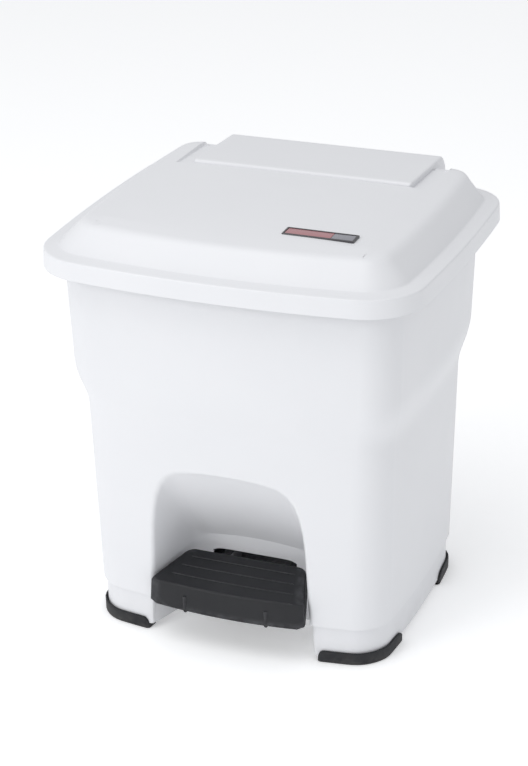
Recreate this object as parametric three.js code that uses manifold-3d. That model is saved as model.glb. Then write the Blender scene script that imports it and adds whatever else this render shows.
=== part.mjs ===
// A pedal bin for a ward: a tapered outer body on a base with rubber feet, a lift-out bucket, a domed lid
// hinged at the back under a hood, and a foot pedal whose lever lifts a push rod that swings the lid open.
// Millimetres, X to the right, Y to the back, Z up. The origin is on the floor, under the middle of the bin.
import * as THREE from "three";
import { mergeVertices } from "three/addons/utils/BufferGeometryUtils.js";
import Module from "manifold-3d";

const wasm = await Module();
wasm.setup();

// ---- driving dimensions ----
const GAP = 0.3; // left between two pieces that touch
const RUN = 0.3; // radial clearance of a shaft in its bore

// plan outline of the lid's rim, from which every other outline is stepped in
const RIM_HALF_WIDTH = 188.4; // at the corners
const SIDE_BOW = 6.6; // how far the middle of each side bulges past the corners
const RIM_FRONT = 163.5; // from the origin forward to the corners
const FRONT_BOW = 15.5;
const RIM_REAR = 163;
const RIM_CORNER = 46;

// outer body: heights, and how far each level steps in from the rim's outline
const BODY_WALL = 3;
const BODY_CORNER = 28;
const REAR_TAPER = 1.324; // the back steps in this many times as far as the front and sides
const BODY_BOTTOM = { z: 39.2, inset: 36 };
const SHOULDER_LOW = { z: 242.5, inset: 31.5 };
const SHOULDER_HIGH = { z: 273, inset: 22.9 };
const BODY_TOP = { z: 386, inset: 19.4 };

// base under the body
const SKIRT_INSET = 38.5;
const SKIRT_BOTTOM = 5.6;
const BASE_WALL = 3;
const FLOOR_Z = 20;
const FLOOR_THICK = 3.5;
const UPSTAND = { height: 8, thick: 2.4 }; // the lip that stands up inside the body

// rubber feet at the four corners
const FOOT_HEIGHT = 13;
const FOOT_PROUD = 2.5; // how far a foot stands out past the skirt
const FOOT_INNER_X = 89;
const FOOT_FRONT_Y = -68;
const FOOT_REAR_Y = 47;
const FOOT_SHELF = 14;
const SCREW_R = 2;
const SCREW_HEAD_R = 4;

// foot recess: an arched opening whose ceiling slopes down and back to a short upright wall
const RECESS_MOUTH = { foot: 88, side: 80.5, sideZ: 124, top: 40, topZ: 188.2, crownZ: 190 };
const RECESS_BACK = { foot: 68, side: 65, sideZ: 73, top: 47, topZ: 85.5, crownZ: 88.5 };
const RECESS_MOUTH_Y = -143.5;
const RECESS_BACK_Y = -73;
const RECESS_FILLET = { across: 15, deep: 12 }; // where the side walls turn into the back wall

// lid
const LID_WALL = 2.6;
const LID_BOTTOM = 384;
const LEDGE = { z: 401.9, inset: 0.85 };
const PANEL_FOOT = { z: 404, inset: 15.1, corner: 31.5, taper: 1 };
const PANEL_EDGE = { z: 427.3, inset: 36.1, corner: 18, taper: 0.61 };
const DOME = [
  { z: 429.4, inset: 56, corner: 14, taper: 0.72 },
  { z: 431.2, inset: 105, corner: 10, taper: 0.88 },
];

// recess in the lid that takes the hinge hood, and the hood itself
const HOOD_HALF_WIDTH = 116.4;
const HOOD_WALL = 2.6;
const HOOD_FRONT = 65;
const HOOD_TOP = { front: 433, back: 429.3, backY: 166 };
const HOOD_REAR = 179;
const HOOD_SKIRT_Z = 396;
const HOOD_SCREW_INSIDE = 24.4;
const LID_RECESS_SIDE = 18.1; // between the side of the lid's recess and the hood
const LID_RECESS_GAP = 1.4; // between the front of the lid's recess and the hood
const LID_RECESS_Z = 427;
const LID_RECESS_FALL = 0.033; // drop per millimetre towards the back
const HINGE_CUT_Y = 135; // behind this the lid is open under the hood
const HINGE_CUT_CLEAR = 2.1;
const HINGE_WALL_Z = 396; // the walls round that opening stop here, above the bucket's rim

// hinge
const AXIS = { y: 163, z: 401 };
const SHAFT_R = 4;
const LUG_R = 8;
const LUG_THICK = 8;
const BRACKET_INSIDE_HOOD = 9.4;
const BRACKET = {
  inner: 36,
  outer: HOOD_HALF_WIDTH - BRACKET_INSIDE_HOOD,
  bottom: 338,
  top: 383,
  thick: 3.2,
};
const BRACKET_SCREWS_AT = [0.31, 0.69]; // across the bracket's width
const LID_OPEN = THREE.MathUtils.degToRad(80);

// crank on the hinge shaft, and the rod that lifts it
const CRANK_R = 21;
const CRANK_PIN_R = 2;
const CHEEK_THICK = 3;
const ROD_R = 4;
const ROD_HEAD_HALF = 5.5;
const SLOT_CLEAR = 0.95; // above and below the crank pin in the rod's slot
const ROD_WALL = 1.8;
const ROD_TRAVEL = 2 * CRANK_R * Math.sin(LID_OPEN / 2);
const SPRING = { top: 320, turns: 7, wire: 0.9, radius: ROD_R + 2.6, free: 54 };
const COLLAR_R = SPRING.radius + SPRING.wire + 0.6;
const GUIDE = { upper: 325, lower: 110, height: 10, half: 12 };
const DAMPER = { x: 17.5, radius: 7, bottom: 150, top: 236, wall: 1.6, rod: 2 };

// cover over the rod at the back of the body
const DUCT = { half: 34, wall: 2.5, bottom: 14, top: 381 };
const DUCT_CLEAR = 0.9; // inside its back, past the rod's collar
const DUCT_SCREW = { x: 26, heights: [66, 346], post: 4.5 };

// pedal
const PEDAL_AXIS = { y: -14, z: 56 };
const AXLE_R = 4;
const AXLE_HALF = 55;
const BAR = { x: 38, thick: 3, height: 12, top: 62 };
const TONGUE = { x: 8, thick: 3 };
const BEARING = { inner: 43.5, outer: 52.5, half: 12 };
const BUSH = { outer: 6.5, flange: 8.5 };
const TREAD = { front: -149.5, bow: 5, back: -91, frontHalf: 82.5, backHalf: 64, corner: 9 };
const TREAD_HEIGHT = { front: 66, back: 75.5, frontBottom: 42, backBottom: 56.8 };
const TREAD_WALL = 2.8;
const NUB = { x: 43, back: -0.6, radius: 2.2 }; // two studs in the front edge
const LEVER_PIN_R = 3;
const LEVER_Y = 145; // of the pin that lifts the rod
const LEVER_SLOT = { half: 45.5, above: 8.3, below: 17 }; // round the side bars

// bucket and bag ring
const BUCKET = { wall: 2, top: 389, bottom: 96, topInset: 26, bottomInset: 47, flange: 2.4, corner: 24 };
const RECESS_CLEAR = 3.5; // between the bucket and the back of the recess wall
const BAG_RING = { inset: 24, width: 6, height: 5.6 };

// badge plate set into the lid
const BADGE = { x: 81, inset: 69.5, width: 71, depth: 17, thick: 2.2, frame: 1.8 };
const BADGE_PROUD = 0.35; // of the lid, for the plane that the plate is measured from
const domeSlope = (DOME[1].z - DOME[0].z) / (DOME[1].inset - DOME[0].inset);

// ---- materials ----
function finish(color, roughness, metalness = 0) {
  return new THREE.MeshStandardMaterial({ color, roughness, metalness });
}

const WHITE = 0xeceef1;
const BLACK = 0x2b2c2f;
const GREY = 0x8d9298;
const STEEL = 0xb9bcc0;

// ---- solids ----
function solid(geometry) {
  const bare = new THREE.BufferGeometry();
  bare.setAttribute("position", geometry.getAttribute("position"));
  bare.setIndex(geometry.index);
  const merged = mergeVertices(bare, 1e-4);
  const vertProperties = merged.attributes.position.array;
  const triVerts = new Uint32Array(merged.index.array);
  return new wasm.Manifold(new wasm.Mesh({ numProp: 3, vertProperties, triVerts }));
}

function block(x0, x1, y0, y1, z0, z1) {
  const box = new THREE.BoxGeometry(x1 - x0, y1 - y0, z1 - z0);
  return solid(box.translate((x0 + x1) / 2, (y0 + y1) / 2, (z0 + z1) / 2));
}

function barX(x0, x1, y, z, radius, sides = 18) {
  const bar = new THREE.CylinderGeometry(radius, radius, x1 - x0, sides).rotateZ(Math.PI / 2);
  return solid(bar.translate((x0 + x1) / 2, y, z));
}

function barY(y0, y1, x, z, radius, sides = 10) {
  const bar = new THREE.CylinderGeometry(radius, radius, y1 - y0, sides);
  return solid(bar.translate(x, (y0 + y1) / 2, z));
}

function barZ(z0, z1, x, y, radius, sides = 14) {
  const bar = new THREE.CylinderGeometry(radius, radius, z1 - z0, sides).rotateX(Math.PI / 2);
  return solid(bar.translate(x, y, (z0 + z1) / 2));
}

// a flat outline in the YZ plane, given as [y, z] points or a Shape, made solid from x0 to x1
function plateX(outline, x0, x1, curveSegments = 8) {
  const isShape = outline instanceof THREE.Shape;
  const shape = isShape ? outline : new THREE.Shape(outline.map((p) => new THREE.Vector2(...p)));
  const slab = new THREE.ExtrudeGeometry(shape, { depth: x1 - x0, bevelEnabled: false, curveSegments });
  const turn = new THREE.Matrix4().makeBasis(
    new THREE.Vector3(0, 1, 0),
    new THREE.Vector3(0, 0, 1),
    new THREE.Vector3(1, 0, 0),
  );
  return solid(slab.applyMatrix4(turn).translate(x0, 0, 0));
}

const both = (make) => make(1).add(make(-1)); // a piece and its twin on the other side
const span = (side, a, b) => (side > 0 ? [a, b] : [-b, -a]);

// a closed skin through rings of equal point counts, with a flat fan at each end
function loft(rings) {
  const count = rings[0].length;
  const ends = [rings[0], rings.at(-1)].map((ring) =>
    ring.reduce((sum, p) => sum.add(p), new THREE.Vector3()).divideScalar(count),
  );
  const points = [...rings.flat(), ...ends];
  const first = rings.length * count;
  const index = [];
  for (let k = 0; k < count; k++) {
    const next = (k + 1) % count;
    for (let ring = 0; ring + 1 < rings.length; ring++) {
      const low = ring * count;
      const high = low + count;
      index.push(low + k, low + next, high + next, low + k, high + next, high + k);
    }
    const last = first - count;
    index.push(first, next, k, first + 1, last + k, last + next);
  }
  const skin = new THREE.BufferGeometry().setFromPoints(points);
  skin.setIndex(index);
  const made = solid(skin);
  if (made.volume() > 0) return made;
  skin.setIndex(index.toReversed());
  return solid(skin);
}

// ---- outlines ----
// the plan outline at a height, stepped in from the rim, with round corners and bowed front and sides
function outline(inset, corner, z, rearTaper = 1) {
  const half = RIM_HALF_WIDTH - inset;
  const front = -(RIM_FRONT - inset);
  const rear = RIM_REAR - inset * rearTaper;
  const middle = (front + rear) / 2;
  const reach = (rear - front) / 2;
  const square = new THREE.Shape();
  square.moveTo(-half + corner, front);
  for (const x of [-0.5, 0, 0.5]) square.lineTo(x * (half - corner), front);
  square.lineTo(half - corner, front);
  square.absarc(half - corner, front + corner, corner, -Math.PI / 2, 0);
  for (const y of [-0.5, 0, 0.5]) square.lineTo(half, middle + y * (reach - corner));
  square.absarc(half - corner, rear - corner, corner, 0, Math.PI / 2);
  square.absarc(-half + corner, rear - corner, corner, Math.PI / 2, Math.PI);
  for (const y of [0.5, 0, -0.5]) square.lineTo(-half, middle + y * (reach - corner));
  square.absarc(-half + corner, front + corner, corner, Math.PI, 1.5 * Math.PI);
  const points = square.getPoints(3).slice(0, -1);
  return points.map(({ x, y }) => {
    const along = (y - middle) / reach;
    const across = x / half;
    const forward = along < 0 ? FRONT_BOW * -along * (1 - across * across) : 0;
    return new THREE.Vector3(x + SIDE_BOW * across * (1 - along * along), y - forward, z);
  });
}

const bodyRing = (inset, z) => outline(inset, BODY_CORNER, z, REAR_TAPER);

// the outer body's shape, stepped in all round by shrink and carried on past both ends by over
function bodyShape(shrink, over = 0, ends = [BODY_BOTTOM.z, BODY_TOP.z]) {
  const stations = [BODY_BOTTOM, SHOULDER_LOW, SHOULDER_HIGH, BODY_TOP];
  const levels = stations.map(({ z, inset }) => bodyRing(inset + shrink, z));
  const bottom = bodyRing(BODY_BOTTOM.inset + shrink, ends[0] - over - 0.01);
  const top = bodyRing(BODY_TOP.inset + shrink, ends[1] + over + 0.01);
  const trim = block(-400, 400, -400, 400, ends[0] - over, ends[1] + over);
  return loft([bottom, ...levels, top]).intersect(trim);
}

// the recess arch at one depth: near-upright sides, round shoulders and a slightly crowned top
function arch(size, grow, y) {
  const side = size.side + grow;
  const top = size.topZ + grow;
  const rise = top - size.sideZ;
  const run = side - size.top;
  const lean = { x: side - 0.09 * run, z: size.sideZ + 0.64 * rise };
  const turn = { x: size.top + 0.74 * run, z: top - 0.02 * rise };
  const shape = new THREE.Shape();
  shape.moveTo(-size.foot - grow, -20);
  shape.lineTo(-side, size.sideZ);
  shape.bezierCurveTo(-lean.x, lean.z, -turn.x, turn.z, -size.top, top);
  shape.quadraticCurveTo(0, 2 * (size.crownZ + grow) - top, size.top, top);
  shape.bezierCurveTo(turn.x, turn.z, lean.x, lean.z, side, size.sideZ);
  shape.lineTo(size.foot + grow, -20);
  return shape.getPoints(6).map((p) => new THREE.Vector3(p.x, y, p.y));
}

// the room inside the recess; grow makes it bigger on every side to cut its wall or the bucket
function recessShape(grow) {
  const mix = (t, pull = 0) =>
    Object.fromEntries(
      Object.entries(RECESS_MOUTH).map(([key, value]) => {
        const back = RECESS_BACK[key] - (["foot", "side"].includes(key) ? pull : 0);
        return [key, THREE.MathUtils.lerp(value, back, t)];
      }),
    );
  const deep = RECESS_BACK_Y + grow;
  const near = 1 - RECESS_FILLET.deep / (RECESS_BACK_Y - RECESS_MOUTH_Y);
  return loft([
    arch(RECESS_MOUTH, grow, -RIM_FRONT - FRONT_BOW - 40),
    arch(RECESS_MOUTH, grow, RECESS_MOUTH_Y),
    arch(mix(near), grow, deep - RECESS_FILLET.deep),
    arch(mix(1, RECESS_FILLET.across), grow, deep),
  ]);
}

// ---- outer body and base ----
function leverSlots() {
  const wide = LEVER_SLOT.half;
  const low = BAR.top - BAR.height;
  const [y0, y1] = [RECESS_BACK_Y - BODY_WALL, RECESS_BACK_Y + 4 * BODY_WALL];
  const front = block(-wide, wide, y0, y1, low - LEVER_SLOT.below, BAR.top + LEVER_SLOT.above);
  const half = TONGUE.x + TONGUE.thick + 5;
  const rear = block(-half, half, RIM_REAR - 60, RIM_REAR, low - 4, BAR.top + ROD_TRAVEL + 6);
  return front.add(rear);
}

function outerBody() {
  const skin = bodyShape(0).subtract(bodyShape(BODY_WALL, 1));
  const recessWall = recessShape(BODY_WALL).intersect(bodyShape(0));
  return skin.add(recessWall).subtract(recessShape(0)).subtract(leverSlots());
}

function skirtShape(shrink, z0, z1) {
  const inset = SKIRT_INSET + shrink;
  return loft([bodyRing(inset, z0), bodyRing(inset, z1)]);
}

const footScrews = [-1, 1].flatMap((x) => [
  { x: x * (RIM_HALF_WIDTH - SKIRT_INSET - 17), y: -(RIM_FRONT - SKIRT_INSET - 17) },
  { x: x * (RIM_HALF_WIDTH - SKIRT_INSET - 17), y: RIM_REAR - SKIRT_INSET * REAR_TAPER - 17 },
]);

function bearing(side) {
  const [x0, x1] = span(side, BEARING.inner, BEARING.outer);
  const { y, z } = PEDAL_AXIS;
  const post = block(x0, x1, y - BEARING.half, y + BEARING.half, FLOOR_Z + 1, z);
  return post.add(barX(x0, x1, y, z, BEARING.half)).subtract(barX(x0 - 1, x1 + 1, y, z, AXLE_R + GAP));
}

function baseFrame() {
  const top = BODY_BOTTOM.z - GAP;
  const skirt = skirtShape(0, SKIRT_BOTTOM, top).subtract(skirtShape(BASE_WALL, SKIRT_BOTTOM - 1, top + 1));
  const floor = skirtShape(1, FLOOR_Z, FLOOR_Z + FLOOR_THICK);
  const recessWall = recessShape(BASE_WALL).intersect(skirtShape(0, SKIRT_BOTTOM, top));
  const lip = BODY_WALL + GAP + BODY_BOTTOM.inset;
  const lipTop = BODY_BOTTOM.z + UPSTAND.height;
  const ring = (inset, z0, z1) => loft([bodyRing(inset, z0), bodyRing(inset, z1)]);
  const upstand = ring(lip, FLOOR_Z + 1, lipTop)
    .subtract(ring(lip + UPSTAND.thick, FLOOR_Z, lipTop + 1))
    .subtract(recessShape(BODY_WALL + GAP));
  let base = skirt.add(floor).add(recessWall).add(upstand);
  for (const { x, y } of footScrews) base = base.add(barZ(SKIRT_BOTTOM, FLOOR_Z + 1, x, y, 3 * SCREW_R, 8));
  base = base.subtract(recessShape(0)).subtract(leverSlots()).add(both(bearing));
  for (const { x, y } of footScrews) base = base.subtract(barZ(0, FLOOR_Z - 3, x, y, SCREW_R + GAP, 8));
  return base;
}

function foot(side, front) {
  const corner = front
    ? block(...span(side, FOOT_INNER_X, RIM_HALF_WIDTH), -RIM_FRONT - FRONT_BOW, FOOT_FRONT_Y, -1, 30)
    : block(...span(side, FOOT_INNER_X, RIM_HALF_WIDTH), FOOT_REAR_Y, RIM_REAR, -1, 30);
  const lip = skirtShape(-FOOT_PROUD, 0, FOOT_HEIGHT).subtract(skirtShape(-GAP, -1, FOOT_HEIGHT + 1));
  const sole = skirtShape(-FOOT_PROUD, 0, SKIRT_BOTTOM - GAP).subtract(skirtShape(FOOT_SHELF, -1, 14));
  const screw = footScrews.find(({ x, y }) => x * side > 0 && y < 0 === front);
  const pad = barZ(0, SKIRT_BOTTOM - GAP, screw.x, screw.y, 11, 14).add(sole).add(lip).intersect(corner);
  const hole = barZ(-1, 20, screw.x, screw.y, SCREW_R + GAP, 8);
  return pad.subtract(hole).subtract(barZ(-1, 3, screw.x, screw.y, SCREW_HEAD_R + GAP, 12));
}

function footScrew({ x, y }) {
  return barZ(0.8, 2.7, x, y, SCREW_HEAD_R, 10).add(barZ(2, FLOOR_Z - 4, x, y, SCREW_R, 8));
}

// ---- bucket ----
function bucketShape(shrink, bottom, top) {
  const { topInset, bottomInset, corner } = BUCKET;
  const at = (z) => {
    const t = (z - BUCKET.bottom) / (BUCKET.top - BUCKET.bottom);
    const inset = THREE.MathUtils.lerp(bottomInset, topInset, t) + shrink;
    return outline(inset, corner, z, REAR_TAPER);
  };
  return loft([at(bottom), at(top)]);
}

function innerBucket() {
  const { wall, top, bottom, flange } = BUCKET;
  const clear = BODY_WALL + RECESS_CLEAR;
  const outside = bucketShape(0, bottom, top).subtract(recessShape(clear));
  const inside = bucketShape(wall, bottom + wall, top + 1).subtract(recessShape(clear + wall));
  const rim = loft([bodyRing(BODY_TOP.inset + 0.5, top - flange), bodyRing(BODY_TOP.inset + 0.5, top)]);
  return outside.add(rim).subtract(inside);
}

function bagRing() {
  const z0 = BUCKET.top + GAP;
  const ring = (inset) => [bodyRing(inset, z0), bodyRing(inset, z0 + BAG_RING.height)];
  const [outer, inner] = [loft(ring(BAG_RING.inset)), loft(ring(BAG_RING.inset + BAG_RING.width))];
  return outer.subtract(inner.add(inner.translate(0, 0, 1)).add(inner.translate(0, 0, -1)));
}

// ---- lid ----
// the lid's outer shape, stepped in and down by the wall for its hollow
function lidShape(wall, bottom) {
  const corner = RIM_CORNER - wall;
  const rings = [outline(wall, corner, bottom), outline(LEDGE.inset + wall, corner, LEDGE.z - wall)];
  for (const level of [PANEL_FOOT, PANEL_EDGE, ...DOME]) {
    rings.push(outline(level.inset + wall, level.corner, level.z - wall, level.taper));
  }
  return loft(rings);
}

const lidRecessZ = (y) => LID_RECESS_Z - LID_RECESS_FALL * (y - HOOD_FRONT);

// the pocket that the hood sits in, and the opening behind it for the hinge
function lidPocket(grow) {
  const front = HOOD_FRONT - LID_RECESS_GAP - grow;
  const back = RIM_REAR + 40;
  const side = HOOD_HALF_WIDTH + LID_RECESS_SIDE + grow;
  const profile = [
    [front, lidRecessZ(front) - grow],
    [back, lidRecessZ(back) - grow],
    [back, 470],
    [front, 470],
  ];
  const cut = HOOD_HALF_WIDTH + HINGE_CUT_CLEAR + grow;
  const low = grow ? HINGE_WALL_Z : LID_BOTTOM - 20;
  return plateX(profile, -side, side).add(block(-cut, cut, HINGE_CUT_Y - grow, back, low, 470));
}

const hoodScrewX = HOOD_HALF_WIDTH - HOOD_SCREW_INSIDE;
const hoodScrews = [-1, 1].flatMap((side) => [
  { x: side * hoodScrewX, y: HOOD_FRONT + 12 },
  { x: side * hoodScrewX, y: HINGE_CUT_Y - 12 },
]);

function badgeSeat(width, depth, low, high) {
  const slab = new THREE.BoxGeometry(width, depth, high - low).translate(0, 0, (low + high) / 2);
  const z = DOME[0].z + domeSlope * (BADGE.inset - DOME[0].inset) + BADGE_PROUD;
  return solid(slab.rotateX(Math.atan(domeSlope)).translate(BADGE.x, BADGE.inset - RIM_FRONT, z));
}

function lidShell() {
  const skin = lidShape(0, LID_BOTTOM).subtract(lidPocket(0));
  const hollow = lidShape(LID_WALL, LID_BOTTOM - 1).subtract(lidPocket(LID_WALL));
  let lid = skin.subtract(hollow);
  lid = lid.subtract(badgeSeat(BADGE.width + 2 * GAP, BADGE.depth + 2 * GAP, -1, 8));
  for (const { x, y } of hoodScrews) lid = lid.subtract(barZ(380, 440, x, y, SCREW_R + GAP, 8));
  return lid;
}

function badgeFrame() {
  const { width, depth, thick, frame } = BADGE;
  const plate = badgeSeat(width, depth, -1 + GAP, thick - 1);
  return plate.subtract(badgeSeat(width - 2 * frame, depth - 2 * frame, thick - 2, 8));
}

function badgeInsert() {
  const { width, depth, thick, frame } = BADGE;
  const edge = 2 * frame + 2 * GAP;
  return badgeSeat(width - edge, depth - edge, thick - 2 + GAP, thick - 1.2);
}

function lidBuffer(side) {
  const x = side * (RIM_HALF_WIDTH - BAG_RING.inset - 16);
  const y = -(RIM_FRONT - BAG_RING.inset - 10);
  const z = BUCKET.top + BAG_RING.height + 2 * GAP;
  return barZ(z, z + 40, x, y, 4, 12).intersect(lidShape(LID_WALL + GAP, LID_BOTTOM));
}

// ---- hood over the hinge, fixed to the lid ----
function hoodProfile(wall) {
  const { front, back, backY } = HOOD_TOP;
  const round = 3;
  const f = HOOD_FRONT + wall;
  const r = HOOD_REAR - wall;
  const shape = new THREE.Shape();
  shape.moveTo(f, 380);
  shape.lineTo(f, front - wall - round);
  shape.quadraticCurveTo(f, front - wall, f + round, front - wall);
  shape.lineTo(backY - wall, back - wall);
  shape.bezierCurveTo(backY + 4 - wall, back - wall, r - 1, back - 12 - wall, r, back - 16);
  shape.lineTo(r - 1, 380);
  return shape;
}

function hoodFloor(lift) {
  // what the hood leaves out: the lid's recess floor in front, and the room below its skirt behind
  const floor = [
    [0, lidRecessZ(0) + lift],
    [HINGE_CUT_Y + 3, lidRecessZ(HINGE_CUT_Y + 3) + lift],
    [AXIS.y - 13, AXIS.z + 1],
    [AXIS.y - 8, HOOD_SKIRT_Z],
    [HOOD_REAR + 20, HOOD_SKIRT_Z],
    [HOOD_REAR + 20, 300],
    [0, 300],
  ];
  return plateX(floor, -200, 200);
}

function hingeHood() {
  const half = HOOD_HALF_WIDTH;
  const outside = plateX(hoodProfile(0), -half, half, 5);
  const inside = plateX(hoodProfile(HOOD_WALL), -half + HOOD_WALL, half - HOOD_WALL, 5);
  let hood = outside.subtract(inside);
  for (const { x, y } of hoodScrews) {
    hood = hood.add(barZ(400, 450, x, y, 2.2 * SCREW_R, 8).intersect(outside));
  }
  hood = hood.subtract(hoodFloor(GAP));
  for (const { x, y } of hoodScrews) {
    hood = hood.subtract(barZ(400, lidRecessZ(y) + 4.6, x, y, SCREW_R + GAP, 8));
  }
  return hood.subtract(barX(-200, 200, AXIS.y, AXIS.z, SHAFT_R + GAP));
}

function hoodScrew({ x, y }) {
  const under = lidRecessZ(y) - LID_WALL - 2 * GAP;
  const shank = barZ(under - 1, under + 7, x, y, SCREW_R, 8);
  return barZ(under - 2.2, under, x, y, SCREW_HEAD_R, 10).add(shank);
}

// ---- hinge brackets on the back of the body ----
function lug(x0, x1) {
  const { y, z } = AXIS;
  const arm = [
    [y - 2, z - 7.7],
    [y - 22, BRACKET.bottom + 7],
    [y - 40, BRACKET.bottom + 7],
    [y - 40, z - 23],
    [y - 25.3, z - 23],
    [y - 7.9, z + 1],
  ];
  return plateX(arm, x0, x1).add(barX(x0, x1, y, z, LUG_R));
}

const bracketScrewZ = (BRACKET.bottom + BRACKET.top) / 2 - 4;
const bracketScrewX = BRACKET_SCREWS_AT.map((t) => THREE.MathUtils.lerp(BRACKET.inner, BRACKET.outer, t));
const bracketScrews = [1, -1].flatMap((side) => bracketScrewX.map((x) => ({ x: side * x, z: bracketScrewZ })));

// where the body's back wall is at a height between the shoulder and the rim
function backWallY(z) {
  const t = (z - SHOULDER_HIGH.z) / (BODY_TOP.z - SHOULDER_HIGH.z);
  return RIM_REAR - REAR_TAPER * THREE.MathUtils.lerp(SHOULDER_HIGH.inset, BODY_TOP.inset, t);
}

function hingeBracket(side) {
  const { inner, outer, bottom, top, thick } = BRACKET;
  const [x0, x1] = span(side, inner, outer);
  const face = backWallY(top) + thick;
  const plate = block(x0, x1, face - 20, face, bottom, top);
  const lugs = lug(...span(side, inner, inner + LUG_THICK)).add(lug(...span(side, outer - LUG_THICK, outer)));
  let bracket = plate.add(lugs).subtract(bodyShape(-GAP, 60, [0, BODY_TOP.z - 60]));
  bracket = bracket.subtract(barX(x0 - 1, x1 + 1, AXIS.y, AXIS.z, SHAFT_R + RUN));
  for (const { x, z } of bracketScrews) {
    bracket = bracket.subtract(barY(face - 20, face + 9, x, z, SCREW_R + GAP));
  }
  return bracket;
}

function bracketScrew({ x, z }) {
  const face = backWallY(BRACKET.top) + BRACKET.thick;
  const shank = barY(backWallY(z) + GAP, face + 1, x, z, SCREW_R);
  return barY(face + GAP, face + 2.4, x, z, SCREW_HEAD_R).add(shank);
}

// ---- shaft, crank and push rod ----
const crankPin = {
  y: AXIS.y - CRANK_R * Math.cos(LID_OPEN / 2),
  z: AXIS.z - CRANK_R * Math.sin(LID_OPEN / 2),
};

function crankArm() {
  const cheek = (side) => {
    const [x0, x1] = span(side, ROD_HEAD_HALF + 0.8, ROD_HEAD_HALF + 0.8 + CHEEK_THICK);
    const away = new THREE.Vector2(AXIS.z - crankPin.z, crankPin.y - AXIS.y).setLength(1);
    const web = [
      [AXIS.y + 7 * away.x, AXIS.z + 7 * away.y],
      [crankPin.y + 4 * away.x, crankPin.z + 4 * away.y],
      [crankPin.y - 4 * away.x, crankPin.z - 4 * away.y],
      [AXIS.y - 7 * away.x, AXIS.z - 7 * away.y],
    ];
    const ends = barX(x0, x1, AXIS.y, AXIS.z, 7.5).add(barX(x0, x1, crankPin.y, crankPin.z, 4.3, 12));
    const hole = barX(x0 - 1, x1 + 1, crankPin.y, crankPin.z, CRANK_PIN_R + GAP, 12);
    return plateX(web, x0, x1).add(ends).subtract(hole);
  };
  const half = ROD_HEAD_HALF + 0.8 + CHEEK_THICK;
  const hub = barX(-half, half, AXIS.y, AXIS.z, 6.8);
  return both(cheek).add(hub).subtract(barX(-half - 1, half + 1, AXIS.y, AXIS.z, SHAFT_R + GAP));
}

const slotFront = AXIS.y - CRANK_R - CRANK_PIN_R - 0.4;
const slotBack = crankPin.y + CRANK_PIN_R + 0.4;
const rodY = (slotFront + slotBack) / 2;
const ductRear = rodY + COLLAR_R + DUCT_CLEAR + DUCT.wall;
const leverPinZ = BAR.top - BAR.height / 2;

// a block with a slot across it, in which a cross pin lifts or is lifted
function slottedBlock(front, back, z, slotHalf) {
  const half = ROD_HEAD_HALF;
  const [z0, z1] = [z - slotHalf - 3, z + slotHalf + 3];
  const outside = block(-half, half, front - ROD_WALL, back + ROD_WALL, z0, z1);
  return outside.subtract(block(-20, 20, front, back, z - slotHalf, z + slotHalf));
}

const headSlotHalf = CRANK_PIN_R + SLOT_CLEAR;
const footSlotHalf = LEVER_PIN_R + 0.5;
const rodTop = crankPin.z - headSlotHalf - 3;
const rodBottom = leverPinZ + footSlotHalf + 3;

const rodHead = () => slottedBlock(slotFront, slotBack, crankPin.z, headSlotHalf);
// the lever's pin swings on an arc, so the rod's foot has a slot long enough for its drift towards the front
const leverReach = LEVER_Y - PEDAL_AXIS.y;
const leverDrift = leverReach - Math.sqrt(leverReach ** 2 - ROD_TRAVEL ** 2);
const footSlotFront = LEVER_Y - LEVER_PIN_R - leverDrift - 0.7;
const footSlotBack = LEVER_Y + LEVER_PIN_R + 0.7;
const rodFoot = () => slottedBlock(footSlotFront, footSlotBack, leverPinZ, footSlotHalf);

const collarTop = SPRING.top - SPRING.free;
const collarHeight = 6;

// the collar that the spring stands on, with an arm out to the damper's piston
function rodCollar() {
  const z0 = collarTop - collarHeight;
  const ring = barZ(z0, collarTop, 0, rodY, COLLAR_R);
  const arm = block(0, DAMPER.x + 5, rodY - 4, rodY + 4, z0, collarTop);
  const hole = barZ(z0 - 1, collarTop + 1, 0, rodY, ROD_R + GAP);
  const pistonHole = barZ(z0 - 1, collarTop + 1, DAMPER.x, rodY, DAMPER.rod + GAP, 12);
  return ring.add(arm).subtract(hole).subtract(pistonHole);
}

function damperPiston() {
  const { x, rod, radius, wall, bottom } = DAMPER;
  const head = barZ(bottom + 20, bottom + 27, x, rodY, radius - wall - GAP);
  return head.add(barZ(bottom + 25, collarTop, x, rodY, rod, 12));
}

function damperCylinder() {
  const { x, radius, wall, bottom, top, rod } = DAMPER;
  const tube = barZ(bottom, top, x, rodY, radius).subtract(barZ(bottom + 3, top - 4, x, rodY, radius - wall));
  const strap = block(x - 4, x + 4, RIM_REAR - 60, rodY - radius + 1, bottom + 30, bottom + 50);
  const lower = strap.subtract(bodyShape(-GAP, 0));
  return tube.add(lower).subtract(barZ(top - 8, top + 1, x, rodY, rod + GAP, 12));
}

function returnSpring() {
  const { turns, wire, radius, top, free } = SPRING;
  class Coil extends THREE.Curve {
    getPoint(t, target = new THREE.Vector3()) {
      const angle = t * turns * 2 * Math.PI;
      const rise = THREE.MathUtils.lerp(top - free + wire + GAP, top - wire - GAP, t);
      return target.set(radius * Math.cos(angle), rodY + radius * Math.sin(angle), rise);
    }
  }
  const section = new THREE.Shape(
    Array.from({ length: 5 }, (_, k) => {
      const angle = (k * 2 * Math.PI) / 5;
      return new THREE.Vector2(wire * Math.cos(angle), wire * Math.sin(angle));
    }),
  );
  const along = { extrudePath: new Coil(), steps: turns * 10, bevelEnabled: false };
  return solid(new THREE.ExtrudeGeometry(section, along));
}

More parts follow.
